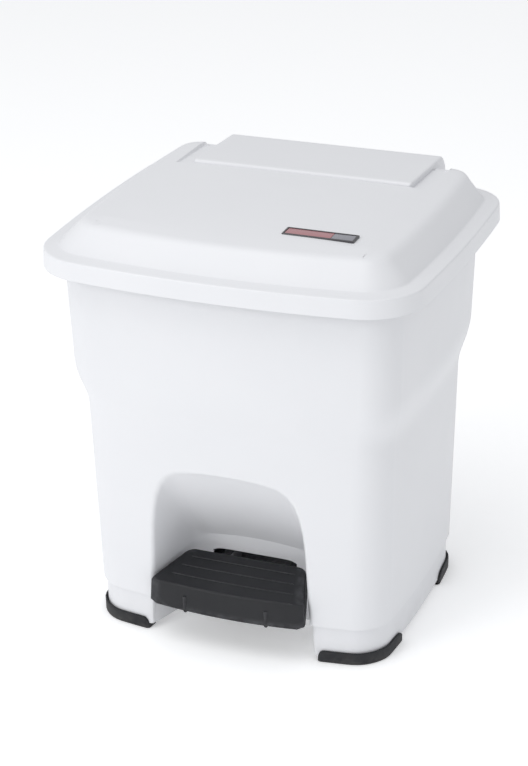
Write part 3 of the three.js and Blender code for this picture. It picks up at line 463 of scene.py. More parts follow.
def round_end(cy, cz, radius, start, stop, steps=14):
    return [(cy + radius * math.cos(a), cz + radius * math.sin(a)) for a in np.linspace(start, stop, steps + 1)]


# ---- feet ----
FOOT_INNER_X, FOOT_FRONT_Y, FOOT_REAR_Y = 89.0, -68.0, 47.0
FOOT_PROUD, FOOT_DEEP, SOLE_HIGH = 2.5, 14.0, 5.2
FOOT_END_HIGH, FOOT_RISE = 2.4, 10.4  # its height at its ends, and what it gains from there
FOOT_END_STEPS = [0, 0.35, 1.2, 2.6, 4.6, 7, 10]


def foot_path(side, front):
    """Points, outward directions and distances along one corner of the skirt."""
    plan = Plan(np.linspace(-1, 1, 61)[1:-1], np.linspace(-1, 1, 61)[1:-1], arc=10)
    ring = plan.ring(SKIRT_INSET - FOOT_PROUD, BODY_CORNER, 0, REAR_TAPER)[:, :2]
    ring = ring[ring[:, 0] > 0]
    ring = ring[np.argsort(np.arctan2(ring[:, 1], ring[:, 0]))]
    near = ring[:, 1] < FOOT_FRONT_Y if front else ring[:, 1] > FOOT_REAR_Y
    pts = ring[(ring[:, 0] > FOOT_INNER_X) & near]
    along = np.gradient(pts, axis=0)
    out = np.stack([along[:, 1], -along[:, 0]], 1)
    out /= np.linalg.norm(out, axis=1)[:, None]
    return pts * [side, 1], out * [side, 1], distances(pts)


def rubber_foot(side, front):
    pts, out, step = foot_path(side, front)
    total = step[-1]
    ends = np.array(FOOT_END_STEPS)
    rows = []
    for s in np.concatenate([ends, np.linspace(15, total - 15, 14), total - ends[::-1]]):
        p, n = resampled(pts, s, step), resampled(out, s, step)
        inner = s if front else total - s
        rise = min(inner / 6, (total - inner) / 13, 1)
        tall = FOOT_END_HIGH + FOOT_RISE * math.sqrt(1 - (1 - rise) ** 2)
        sole = min(SOLE_HIGH, tall)
        proud = -2.0 * (1 - min(min(s, total - s) / 3.0, 1)) ** 2
        soft = min(1.3, 0.3 * tall)
        wall = [(proud - 0.15, 0.05), (proud, tall), (proud - 2.1, tall), (proud - 2.25, sole)]
        radii = [min(1.0, soft), soft, soft * 0.5, 0.15]
        section = rounded([(-FOOT_DEEP, 0.05), *wall, (-FOOT_DEEP, sole)], radii, 4)
        rows.append([(*(p + n * a), h) for a, h in section])
    return solid(rows)


# ---- lid ----
POCKET_EDGE = [132.9, 133.3, 133.7, 134.1, 134.5, POCKET_HALF]
LID_INNER_X = [-126, -HINGE_CUT_HALF, *np.linspace(-105, 105, 15), HINGE_CUT_HALF, 126]
LID_X = [-x for x in POCKET_EDGE[::-1]] + LID_INNER_X + POCKET_EDGE
LID_Y = [-105, -94, *range(-82, 45, 14), 56, POCKET_FRONT, 63.2, 63.6, 64.0, 64.4, 72, 84, 96, 106]
LID_PLAN = Plan(LID_X, LID_Y, fractions=False)


def lid_taper(inset):
    return np.interp(inset, [LEDGE_INSET, PANEL_FOOT_INSET, 56, 105], [1, 0.61, 0.72, 0.88])


def lid_corner(inset):
    return np.interp(inset, [0, LEDGE_INSET, PANEL_FOOT_INSET, PANEL_INSET], [46, 31.5, 17, PANEL_CORNER])


PANEL_OUTLINE = (RIM_HALF - PANEL_INSET, PANEL_INSET - RIM_FRONT,
                 RIM_REAR - PANEL_INSET * lid_taper(PANEL_INSET))  # half width, front and rear


def pocket_floor(y):
    return POCKET_Z - POCKET_FALL * (y - HOOD_FRONT)


def sink_pocket(points):
    """Lowers what lies inside the hood's pocket onto its sloping floor."""
    points = np.array(points, float)
    x, y, z = points[..., 0], points[..., 1], points[..., 2]
    across = smooth((POCKET_HALF - np.abs(x)) / POCKET_SIDE_RUN)
    inside = across * smooth((y - POCKET_FRONT) / POCKET_FRONT_RUN)
    points[..., 2] = lerp(z, np.minimum(z, pocket_floor(y)), inside)
    return points


def dome_height(x, y):
    """The lid's crown, from its distance inside the raised panel's rounded outline."""
    half, front, rear = PANEL_OUTLINE
    middle, reach = (front + rear) / 2, (rear - front) / 2
    qx = np.abs(x) - (half - PANEL_CORNER)
    qy = np.abs(y - middle) - (reach - PANEL_CORNER)
    inner = np.minimum(soft_maximum(qx, qy, DOME_BLEND), 0)
    outer = np.hypot(np.maximum(qx, 0), np.maximum(qy, 0))
    depth = PANEL_CORNER - outer - inner
    return PANEL_Z + DOME_RISE * (1 - np.exp(-depth / DOME_REACH))


def lid_panel():
    skin = Skin()
    levels = [(0.05, LID_BOTTOM), (0.85, RIM_TOP), (LEDGE_INSET, LEDGE_Z), (PANEL_FOOT_INSET, PANEL_EDGE_Z)]
    profile = rounded([*levels, (PANEL_INSET, PANEL_Z)], [1.8, 1.4, 6], 6)
    middle = np.array([28.0, np.interp(28.0, [LEDGE_INSET, PANEL_FOOT_INSET], [LEDGE_Z, PANEL_EDGE_Z])])
    profile = np.insert(profile, int(np.searchsorted(profile[:, 0], middle[0])), middle, axis=0)
    rings = [LID_PLAN.ring(i, lid_corner(i), z, lid_taper(i)) for i, z in profile]

    def clear_of_hinge(*corners):
        x, y, _ = np.mean(corners, 0)
        return not (abs(x) < HINGE_CUT_HALF and y > HINGE_CUT_Y)

    skin.grid(sink_pocket(rings), closed=True, keep=clear_of_hinge)
    last = rings[-1]
    flat = LID_PLAN.flat(*PANEL_OUTLINE, PANEL_CORNER)
    first, stop, wide = LID_PLAN.front_end, LID_PLAN.side_end, len(LID_X)
    xs = np.array(LID_X)
    rows = [last[:first + 1]]
    for right in range(first + 1, stop):
        left = (2 * stop + wide + 1 - right) % len(last)
        flat_y = np.full(wide, flat[right][1])
        ys = bowed(np.stack([xs, flat_y], 1), *PANEL_OUTLINE)[:, 1]
        row = np.column_stack([xs, ys, dome_height(xs, flat_y)])
        rows.append(np.concatenate([[last[left]], row, [last[right]]]))
    rows.append(last[stop:stop + wide + 2][::-1])
    return skin.grid(sink_pocket(np.array(rows)))


# ---- hood over the hinge ----
HOOD_TAIL = [(178.8, 408), (178.9, 402.5), (HOOD_REAR, 398)]
HOOD_CURVE = (HOOD_TURN_Y, HOOD_TURN_Z), (170, HOOD_TURN_Z), (177.8, 417.3), (178.7, 413.3)


def hood_floor(y):
    """The height of the hood's lower edge: along the pocket's floor, then down round the hinge."""
    start, end = pocket_floor(0) - GAP, pocket_floor(138) - GAP
    return np.interp(y, [0, 138, 150, 155, 200], [start, end, 402, 396, 396])


def hood_line():
    """The hood's middle section, from its front edge to behind the hinge."""
    ends = [(HOOD_FRONT, HOOD_FRONT_Z), (HOOD_TURN_Y, HOOD_TURN_Z)]
    nose = rounded([(HOOD_FRONT, hood_floor(HOOD_FRONT)), *ends], [4.6], 6)
    top = [(y, np.interp(y, *zip(*ends))) for y in np.linspace(72, 158, 15)]
    curve = cubic(*HOOD_CURVE, np.linspace(0, 1, 11)[1:, None])
    return np.concatenate([nose[:-1], top, nose[-1:], curve, HOOD_TAIL])


def hinge_hood():
    rows = []
    for y, z in hood_line():
        low = min(hood_floor(y), z - 0.2)
        back = max(y - (HOOD_REAR - 3), 0)
        half = HOOD_HALF - 2.2 * (1 - min((y - HOOD_FRONT) / 3.5, 1)) ** 2 - 1.2 * (back / 3) ** 2
        soft = min(3.0, 0.45 * (z - low))
        side = rounded([(half, low), (half, z), (half - HOOD_SHOULDER, z)], [max(soft, 1e-3)], 5)
        side = np.insert(side, 1, lerp(side[0], side[1], 0.5), axis=0)
        across = np.linspace(0, half - HOOD_SHOULDER, 8)[:-1]
        right = np.concatenate([side, [(x, z) for x in across[::-1]]])
        left = (right * [-1, 1])[-2::-1]
        rows.append([(x, y, h) for x, h in np.concatenate([right, left])])
    return Skin().grid(rows)


# ---- pedal ----
def tread_front(x, shrink):
    """The y of the step's bowed front edge."""
    return TREAD_FRONT + shrink - TREAD_BOW * (1 - (x / (TREAD_FRONT_HALF - shrink)) ** 2)


def pedal_boundary(shrink):
    """The right half of the step's outline seen from above: its rear, its side and its front."""
    back = TREAD_BACK - 0.35 * shrink
    front_half, back_half = TREAD_FRONT_HALF - shrink, TREAD_BACK_HALF - shrink
    corners = [max(9 - shrink * 0.5, 4), max(4.6 - shrink * 0.5, 1)]
    front_corner, front_middle = ((x, tread_front(x, shrink)) for x in (front_half, 0))
    edge = rounded([(0, back), (back_half, back), front_corner, front_middle], corners, 8)
    share = np.linspace(0, 1, 13)
    rear_line = resampled(edge[:5], share, np.linspace(0, 1, 5))
    side = edge[4:-5]
    side_line = resampled(side, np.linspace(0, distances(side)[-1], 17), distances(side))
    front_x = np.linspace(side_line[-1][0], 0, 13)
    front_line = np.stack([front_x, tread_front(front_x, shrink)], 1)
    front_line[0] = side_line[-1]
    return rear_line, side_line, front_line


def pedal_ring(shrink, z_of):
    rear, side, front = pedal_boundary(shrink)
    half = np.concatenate([rear, side[1:], front[1:]])
    mirror = (half * [-1, 1])[-2:0:-1]
    ring = np.concatenate([half, mirror])
    return np.column_stack([ring, z_of(ring[:, 1])])


def plane(heights, drop=0.0):
    return lambda y: lerp(*heights, (y - TREAD_FRONT) / TREAD_SLOPE_RUN) - drop


def lower_edge(shrink):
    """The step's lower edge, which rises a little at its outer ends."""
    ring = pedal_ring(shrink, plane(TREAD_UNDER))
    ring[:, 2] += 3.0 * np.clip((np.abs(ring[:, 0]) - 77.5) / 5, 0, 1) ** 2
    return ring


def pedal_step():
    """A step with a bowed front, leaning sides and rounded edges, open below."""
    rings = [lower_edge(0)]
    for t in (0.1, 0.35, 0.65, 0.9):
        ring, upper = lower_edge(TREAD_LEAN * t), pedal_ring(TREAD_LEAN * t, plane(TREAD_TOP, TREAD_EDGE))
        rings.append(np.column_stack([ring[:, :2], lerp(ring[:, 2], upper[:, 2], t)]))
    for a in np.linspace(0, math.pi / 2, 6):
        fall = plane(TREAD_TOP, TREAD_EDGE * (1 - math.sin(a)))
        rings.append(pedal_ring(TREAD_LEAN + TREAD_EDGE * (1 - math.cos(a)), fall))
    rear, side, front = pedal_boundary(TREAD_LEAN + TREAD_EDGE)
    flat_rows = [np.concatenate([(rear * [-1, 1])[::-1], rear[1:]])]
    for k, (edge, y) in enumerate(side[1:-1], 1):
        xs = lerp(-edge, edge, np.linspace(0, 1, 2 * len(rear) - 1))
        share = k / (len(side) - 1)
        flat_rows.append(np.stack([xs, y - tread_bow(xs, share)], 1))
    flat_rows.append(np.concatenate([front * [-1, 1], front[::-1][1:]]))
    top = plane(TREAD_TOP)
    return Skin().grid(rings, closed=True).grid([np.column_stack([row, top(row[:, 1])]) for row in flat_rows])


def tread_bow(x, share):
    """How far a line across the step bows forward, more so towards its front."""
    return TREAD_BOW * share ** 2 * (1 - (x / TREAD_LINE_HALF) ** 2)


RIB_Y = [-147, -132.5, -118, -103.5]
RIB_SECTION = (-0.95, 0), (-0.55, 0.62), (0, 0.86), (0.55, 0.62), (0.95, 0)
RIB_SHORT, RIB_SUNK = 11, 0.25


def pedal_rib(y):
    """One fine raised line across the step, bowed a little like its front edge."""
    share = (TREAD_FRONT + TREAD_SLOPE_RUN - y) / TREAD_SLOPE_RUN
    half = lerp(65, TREAD_LINE_HALF, share) - RIB_SHORT
    xs = np.linspace(-half, half, 33)
    line = y - tread_bow(xs, share)
    base = plane(TREAD_TOP)(line) - RIB_SUNK
    end = np.sqrt(np.clip((half - np.abs(xs)) / 3.0, 0.02, 1))

    def along(off, height):
        return np.column_stack([xs, line + off * end, base + height])

    rows = [along(off, high * end + 0.01 * abs(off)) for off, high in RIB_SECTION]
    under = [along(off, -0.1) for off in (RIB_SECTION[0][0], RIB_SECTION[-1][0])]
    skin = Skin().grid(rows).grid(under).grid([rows[0], under[0]]).grid([rows[-1], under[1]])
    for c in (0, -1):
        skin.fan([r[c] for r in rows] + [under[1][c], under[0][c]])
    return skin


def pin(x, y, z0, z1, radius):
    """An upright stud with a rounded lower end."""
    rows = []
    for a in np.linspace(0.08, math.pi / 2, 5):
        circle = round_end(x, y, radius * math.sin(a), 0, 2 * math.pi)[:-1]
        rows.append([(*p, z0 + radius * (1 - math.cos(a))) for p in circle])
    rows.append([(*p[:2], z1) for p in rows[-1]])
    return solid(rows)


# ---- bucket, bag ring, rear cover ----
BUCKET_PLAN = Plan(np.linspace(-1, 1, 33)[1:-1], np.linspace(-1, 1, 11)[1:-1], np.linspace(-1, 1, 9)[1:-1])


def recess_back_of(x, z, clear):
    """How far back the foot recess reaches at a point of the bucket's front, if it does."""
    def ceiling(t):
        size = arch_sizes(t, clear)
        run = np.clip((np.abs(x) - size["top"]) / (size["side"] - size["top"]), 0, 1)
        return size["side_z"] + (size["crown_z"] - size["side_z"]) * (1 - run ** 2.6) ** (1 / 2.6)

    low, high = np.zeros_like(x), np.ones_like(x)
    for _ in range(24):
        mid = (low + high) / 2
        above = np.array([ceiling(m)[k] for k, m in enumerate(mid)]) > z
        low, high = np.where(above, mid, low), np.where(above, high, mid)
    return MOUTH_Y + (BACK_Y - MOUTH_Y) * low + np.where(low > 0, clear, -80)


def bucket_ring(z, shrink=0.0):
    inset = np.interp(z, [BUCKET_BOTTOM, BUCKET_TOP], [BUCKET_FOOT_INSET, BUCKET_TOP_INSET])
    ring = BUCKET_PLAN.ring(inset + shrink, BUCKET_CORNER, z, REAR_TAPER)
    bulge = recess_back_of(ring[:, 0], z, BODY_WALL + BUCKET_CLEAR + shrink)
    merged = soft_maximum(ring[:, 1], bulge, 6.0)
    ring[:, 1] = np.where(ring[:, 1] < 0, merged, ring[:, 1])
    return ring


def inner_bucket():
    """One skin: up the outside from the floor, over the turned-out rim and down the inside."""
    foot = [(BUCKET_BOTTOM, 6), (96.6, 2.5), (98.5, 0.6)]
    up = [(z, 0) for z in (*np.arange(102, 200, 7.0), *np.linspace(206, 380, 10), 386.8)]
    rim = [(20.6, 387.0), (19.9, 387.4), (19.9, 388.6), (20.6, BUCKET_TOP)]
    down = [(z, BUCKET_WALL) for z in (*np.linspace(380, 206, 10), *np.arange(200, 102, -7.0))]
    rings = [bucket_ring(*level) for level in foot + up]
    rings += [BUCKET_PLAN.ring(inset, BODY_CORNER, z, REAR_TAPER) for inset, z in rim]
    rings += [bucket_ring(*level) for level in [(BUCKET_TOP, 2.2), *down, (100, 3), (98.2, 8)]]
    return solid(rings)


def bag_ring():
    turns = np.linspace(0, 2 * math.pi, 13)[:-1]
    section = [(24 + 3 * (1 + math.cos(a)), BUCKET_TOP + GAP + 2.8 * (1 + math.sin(a))) for a in turns]
    rings = [BUCKET_PLAN.ring(i, 26, z, REAR_TAPER) for i, z in section]
    return Skin().grid(rings + rings[:1], closed=True)


def back_wall(z):
    return RIM_REAR - REAR_TAPER * (inset_at(z) if z > BODY_FOOT else SKIRT_INSET)


def rear_cover():
    """A channel up the back of the body, its edges following the body's steps."""
    rows = []
    for z in [DUCT_BOTTOM, 15.0, 18, 30, 38.9, 39.5, 90, 150, 200, 236, 245, 258, 272, 280, 330, DUCT_TOP]:
        edge = back_wall(z) + GAP
        path = [(-DUCT_HALF, edge), (-DUCT_HALF, DUCT_REAR), (DUCT_HALF, DUCT_REAR), (DUCT_HALF, edge)]
        rows.append([(x, y, z) for x, y in rounded(path, [DUCT_CORNER, DUCT_CORNER], 6)])
    bottom = [(x, back_wall(DUCT_BOTTOM) + GAP, DUCT_BOTTOM) for x, _, _ in rows[0]]
    return Skin().grid([bottom] + rows)


def hinge_bracket(side):
    """A plate on the body's back with two rounded lugs that carry the hinge shaft."""
    low, high = BRACKET_LOW, BRACKET_HIGH
    plate = [(BRACKET_INNER, low), (BRACKET_INNER, high), (BRACKET_OUTER, high), (BRACKET_OUTER, low)]
    plate = rounded(plate, [4, 4], 4)
    back = [(x * side, back_wall(h) + GAP, h) for x, h in plate]
    front = [(x * side, back_wall(high) + BRACKET_THICK, h) for x, h in plate]
    skin = solid([back, front])
    arm = [(AXIS_Y - 24.4, 378), (AXIS_Y - 22.9, 345), (AXIS_Y - 2, AXIS_Z - 7.8)]
    arm += round_end(AXIS_Y, AXIS_Z, LUG_RADIUS, -math.pi * 0.45, math.pi, 22)
    arm.append((AXIS_Y - LUG_RADIUS, AXIS_Z - 2))
    for x in (BRACKET_INNER, BRACKET_OUTER - LUG_WIDTH):
        skin.add(slab(arm, x * side, (x + LUG_WIDTH) * side))
    return skin


# ---- screws ----
SCREW_CORE, SCREW_CREST, SCREW_PITCH = 1.55, 1.95, 0.9
SCREW_HEAD = 4.0


def screw_skin(length):
    """A threaded pan-head screw standing on its tip, with a cross recess in its head."""
    around = np.linspace(0, 2 * math.pi, 25)[:-1]
    profile = [(0.15, 0), (1.2, 1.6)]
    for k in range(int((length - 5) / SCREW_PITCH)):
        profile += [(SCREW_CORE, 1.9 + SCREW_PITCH * k), (SCREW_CREST, 2.35 + SCREW_PITCH * k)]
    profile += [(1.9, length - 2.0), (SCREW_HEAD - 0.25, length - 1.95)]
    profile += [(SCREW_HEAD, length - 1.7), (SCREW_HEAD * 0.97, length - 1.0)]
    rows = [[(radius * math.cos(a), radius * math.sin(a), h) for a in around] for radius, h in profile]
    for r in np.linspace(0.9, 0.06, 9):
        ring = []
        for a in around:
            x, y = SCREW_HEAD * r * math.cos(a), SCREW_HEAD * r * math.sin(a)
            far, near = max(abs(x), abs(y)), min(abs(x), abs(y))
            cross = smooth((0.62 * SCREW_HEAD - far) / 0.5) * smooth((0.2 * SCREW_HEAD - near) / 0.3)
            ring.append((x, y, length - 0.45 - 0.5 * r ** 3 - 1.1 * cross))
        rows.append(ring)
    return solid(rows)


DOWN, BACKWARD = math.pi, -math.pi / 2  # turns about X that face a screw's head


def screw(name, node, facing, body):
    """A screw that fills its node's place."""
    low, high = (np.array(v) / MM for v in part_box(node))
    axis, tip = (2, high) if facing == DOWN else (1, low)
    start = (low + high) / 2
    start[axis] = tip[axis]
    skin = screw_skin(high[axis] - low[axis])
    skin.turn_and_move(facing, start)
    piece(name, skin, body, "zinc_steel", STEEL, [node], bevel=0, sharp=40)


# ---- procedural finishes ----
FLOAT, VECTOR = "NodeSocketFloat", "NodeSocketVector"


def group(name, inputs, outputs):
    """A node group from a place and some values to masks and heights."""
    tree = bpy.data.node_groups.new(name, "ShaderNodeTree")
    tree.interface.new_socket(name="Vector", in_out="INPUT", socket_type=VECTOR)
    for label, value in inputs.items():
        kind = FLOAT if isinstance(value, float) else VECTOR
        tree.interface.new_socket(name=label, in_out="INPUT", socket_type=kind).default_value = value
    for label in outputs:
        tree.interface.new_socket(name=label, in_out="OUTPUT", socket_type=FLOAT)
    start, end = tree.nodes.new("NodeGroupInput"), tree.nodes.new("NodeGroupOutput")
    return tree, Wires(tree), start.outputs, end.inputs


class Wires:
    """Short ways to add and join nodes in one tree."""

    def __init__(self, tree):
        self.tree = tree

    def join(self, value, socket):
        if isinstance(value, bpy.types.NodeSocket):
            self.tree.links.new(value, socket)
        elif value is not None:
            socket.default_value = value

    def node(self, kind, inputs=(), **settings):
        node = self.tree.nodes.new(kind)
        for key, value in settings.items():
            setattr(node, key, value)
        for key, value in dict(inputs).items():
            self.join(value, node.inputs[key])
        return node

    def noise(self, vector, scale, detail=2.0, roughness=0.5):
        inputs = {"Vector": vector, "Scale": scale, "Detail": detail, "Roughness": roughness}
        return self.node("ShaderNodeTexNoise", inputs).outputs["Fac"]

    def math(self, operation, a, b=None, clamp=False):
        node = self.node("ShaderNodeMath", operation=operation, use_clamp=clamp)
        self.join(a, node.inputs[0])
        self.join(b, node.inputs[1])
        return node.outputs[0]

    def ramp(self, value, low, high, to_low=0.0, to_high=1.0):
        inputs = {"Value": value, "From Min": low, "From Max": high, "To Min": to_low, "To Max": to_high}
        return self.node("ShaderNodeMapRange", inputs).outputs["Result"]

    def mix(self, factor, a, b):
        node = self.node("ShaderNodeMix", data_type="RGBA")
        self.join(factor, node.inputs[0])
        self.join(a, node.inputs[6])
        self.join(b, node.inputs[7])
        return node.outputs[2]


def moulded_grain():
    """Fine grain of moulded plastic, with slow cloudiness and rare specks."""
    values = {"Grain Scale": 2200.0, "Cloud Scale": 9.0}
    tree, w, given, out = group("moulded_grain", values, ("Height", "Cloud", "Specks"))
    place, grain = given["Vector"], given["Grain Scale"]
    fine = w.noise(place, grain, 3.0, 0.6)
    coarse = w.noise(place, w.math("MULTIPLY", grain, 0.22), 2.0)
    w.join(w.math("ADD", fine, w.math("MULTIPLY", coarse, 0.6)), out["Height"])
    w.join(w.ramp(w.noise(place, given["Cloud Scale"], 4.0, 0.55), 0.3, 0.7), out["Cloud"])
    specks = w.node("ShaderNodeTexVoronoi", {"Vector": place, "Scale": 160.0}).outputs["Distance"]
    w.join(w.ramp(specks, 0.05, 0.09, 1.0, 0.0), out["Specks"])
    return tree


def floor_dust():
    """Dust and scuffs, strongest at the floor and broken up by noise."""
    tree, w, given, out = group("floor_dust", {"Reach": 0.05, "Patch Scale": 60.0}, ["Mask"])
    place = given["Vector"]
    height = w.node("ShaderNodeSeparateXYZ", {"Vector": place}).outputs["Z"]
    fall = w.ramp(w.math("DIVIDE", height, given["Reach"]), 0.0, 1.0, 1.0, 0.0)
    patches = w.ramp(w.noise(place, given["Patch Scale"], 5.0, 0.65), 0.4, 0.7)
    w.join(w.math("MULTIPLY", w.math("POWER", fall, 1.6), patches, clamp=True), out["Mask"])
    return tree


def edge_wear_and_highlight():
    """Worn convex edges, lightened as wear and also as a painted highlight, broken up by noise."""
    tree, w, given, out = group("edge_wear_and_highlight", {"Threshold": 0.54, "Patch Scale": 90.0}, ["Mask"])
    bump = w.node("ShaderNodeNewGeometry").outputs["Pointiness"]
    edge = w.ramp(w.math("SUBTRACT", bump, given["Threshold"]), 0.0, 0.06)
    patches = w.ramp(w.noise(given["Vector"], given["Patch Scale"], 4.0, 0.6), 0.35, 0.65)
    w.join(w.math("MULTIPLY", edge, patches, clamp=True), out["Mask"])
    return tree


def brushed_metal():
    """Fine drawn lines along one direction, with a faint blotchy plating."""
    tree, w, given, out = group("brushed_metal", {"Stretch": (1.0, 1.0, 1.0)}, ("Lines", "Plating"))
    factors = {0: given["Vector"], 1: given["Stretch"]}
    pulled = w.node("ShaderNodeVectorMath", factors, operation="MULTIPLY").outputs[0]
    w.join(w.noise(pulled, 1500.0, 3.0, 0.6), out["Lines"])
    w.join(w.ramp(w.noise(given["Vector"], 70.0, 4.0, 0.6), 0.35, 0.65), out["Plating"])
    return tree


def place_group(w, tree, inputs):
    node = w.node("ShaderNodeGroup", node_tree=tree)
    for key, value in inputs.items():
        w.join(value, node.inputs[key])
    return node.outputs


def shader(name):
    material = bpy.data.materials.new(name)
    material.use_nodes = True
    tree = material.node_tree
    tree.nodes.clear()
    w = Wires(tree)
    principled = w.node("ShaderNodeBsdfPrincipled")
    w.join(principled.outputs[0], w.node("ShaderNodeOutputMaterial").inputs[0])
    vector = w.node("ShaderNodeTexCoord").outputs["Object"]
    return material, w, principled, vector


def bumped(w, height, strength, distance, principled):
    normal = w.node("ShaderNodeBump", {"Height": height, "Strength": strength, "Distance": distance}).outputs[0]
    w.join(normal, principled.inputs["Normal"])


def plastic(name, light, dark, rough, grain=2200.0, relief=0.25, dust=None, wear_and_highlight=None, coat=0.0, ior=1.46):
    """Moulded plastic: cloudy colour, fine grain, and where asked floor dust and worn edges, whose lightening
    is also a painted highlight.
    """
    material, w, principled, vector = shader(name)
    surface = place_group(w, MOULDED_GRAIN, {"Vector": vector, "Grain Scale": grain})
    colour = w.mix(surface["Cloud"], (*light, 1), (*dark, 1))
    roughness = w.ramp(surface["Cloud"], 0, 1, rough - 0.03, rough + 0.04)
    colour = w.mix(w.math("MULTIPLY", surface["Specks"], 0.12), colour, (*[c * 0.7 for c in dark], 1))
    if dust:
        mask = place_group(w, FLOOR_DUST, {"Vector": vector, "Reach": dust[0]})["Mask"]
        colour = w.mix(w.math("MULTIPLY", mask, dust[1]), colour, (*dust[2], 1))
        roughness = w.math("ADD", roughness, w.math("MULTIPLY", mask, 0.15), clamp=True)
    # painted highlight: convex edges are lightened towards the given colour, standing for light catching them
    # as well as for rubbed wear
    if wear_and_highlight:
        wear_and_highlight_mask = place_group(w, EDGE_WEAR_AND_HIGHLIGHT, {"Vector": vector, "Threshold": wear_and_highlight[0]})["Mask"]
        colour = w.mix(w.math("MULTIPLY", wear_and_highlight_mask, wear_and_highlight[1]), colour, (*wear_and_highlight[2], 1))
        roughness = w.math("SUBTRACT", roughness, w.math("MULTIPLY", wear_and_highlight_mask, 0.08), clamp=True)
    w.join(colour, principled.inputs["Base Color"])
    w.join(roughness, principled.inputs["Roughness"])
    principled.inputs["IOR"].default_value = ior
    principled.inputs["Coat Weight"].default_value = coat
    bumped(w, surface["Height"], relief, 0.00006, principled)
    return material


def steel(name, light, dark, rough, stretch):
    material, w, principled, vector = shader(name)
    metal = place_group(w, BRUSHED_METAL, {"Vector": vector, "Stretch": stretch})
    w.join(w.mix(metal["Plating"], (*light, 1), (*dark, 1)), principled.inputs["Base Color"])
    w.join(w.ramp(metal["Lines"], 0.3, 0.7, rough - 0.08, rough + 0.1), principled.inputs["Roughness"])
    principled.inputs["Metallic"].default_value = 1.0
    bumped(w, metal["Lines"], 0.2, 0.00003, principled)
    return material


MOULDED_GRAIN, FLOOR_DUST = moulded_grain(), floor_dust()
EDGE_WEAR_AND_HIGHLIGHT, BRUSHED_METAL = edge_wear_and_highlight(), brushed_metal()

WHITE, WHITE_SHADE = (0.775, 0.780, 0.800), (0.760, 0.766, 0.787)
BASE_WHITE, BASE_SHADE = (0.765, 0.770, 0.790), (0.745, 0.751, 0.773)
DUST, SOLE_DUST = (0.46, 0.44, 0.41), (0.2, 0.19, 0.18)
# the second tread colour lightens the pedal's edges and ribs: rubbed wear and a painted highlight
TREAD_DUST, TREAD_WEAR_AND_HIGHLIGHT = (0.12, 0.12, 0.12), (0.11, 0.11, 0.12)
WHITE_BODY = plastic("white_body_plastic", WHITE, WHITE_SHADE, 0.42, dust=(0.05, 0.10, DUST))
WHITE_LID = plastic("white_lid_plastic", WHITE, WHITE_SHADE, 0.38)
WHITE_BASE = plastic("white_base_plastic", BASE_WHITE, BASE_SHADE, 0.45, dust=(0.045, 0.16, DUST))
RUBBER = plastic("foot_rubber", (0.014, 0.0145, 0.017), (0.020, 0.021, 0.024), 0.62, grain=1400.0, relief=0.5,
                 ior=1.38, dust=(0.016, 0.35, SOLE_DUST))
BUFFER = plastic("grey_rubber", (0.22, 0.23, 0.24), (0.18, 0.19, 0.2), 0.7, grain=1500.0, relief=0.5)
# the pedal's lightened edges and ribs are rubbed wear and a painted highlight
PEDAL = plastic("black_pedal_plastic", (0.010, 0.0105, 0.013), (0.015, 0.0155, 0.018), 0.42, grain=1700.0,
                relief=0.45, ior=1.38, dust=(0.09, 0.10, TREAD_DUST), wear_and_highlight=(0.535, 0.35, TREAD_WEAR_AND_HIGHLIGHT))
BLACK = plastic("black_nylon", (0.022, 0.023, 0.025), (0.03, 0.031, 0.033), 0.45, relief=0.3)
BUCKET = plastic("grey_bucket_plastic", (0.30, 0.32, 0.35), (0.27, 0.29, 0.32), 0.42, grain=1600.0, relief=0.35)
NYLON = plastic("natural_nylon", (0.72, 0.71, 0.66), (0.68, 0.67, 0.62), 0.4, relief=0.2)
BADGE_FRAME = plastic("badge_frame_plastic", (0.045, 0.042, 0.048), (0.06, 0.056, 0.062), 0.3, relief=0.15,
                      coat=0.3)
BADGE_RED = plastic("badge_red_field", (0.42, 0.19, 0.20), (0.36, 0.16, 0.18), 0.28, relief=0.1, coat=0.4)
BADGE_GREY = plastic("badge_grey_field", (0.26, 0.26, 0.29), (0.22, 0.22, 0.25), 0.28, relief=0.1, coat=0.4)
STEEL = steel("zinc_plated_steel", (0.62, 0.63, 0.65), (0.54, 0.55, 0.56), 0.32, (1.0, 1.0, 0.04))
STEEL_BAR = steel("drawn_steel_bar", (0.58, 0.59, 0.61), (0.50, 0.51, 0.53), 0.36, (1.0, 0.03, 1.0))


# ---- the pieces ----
def plate(x0, x1, half_wide, z0, z1, soft=0.5):
    """Rings of a rectangular plate from z0 to z1, its top edge softened."""
    rings = []
    levels = (0, z0), (0, z1 - soft), (0.15 * soft, z1 - 0.6 * soft), (0.5 * soft, z1 - 0.15 * soft), (soft, z1)
    for inset, z in levels:
        left, right, wide = x0 + inset, x1 - inset, half_wide - inset
        corners = [(left, -wide), (right, -wide), (right, wide), (left, wide)]
        ring = []
        for (ax, ay), (bx, by) in zip(corners, corners[1:] + corners[:1]):
            ring += [(lerp(ax, bx, t), lerp(ay, by, t), z) for t in (0.02, 0.35, 0.65, 0.98)]
        rings.append(ring)
    return rings


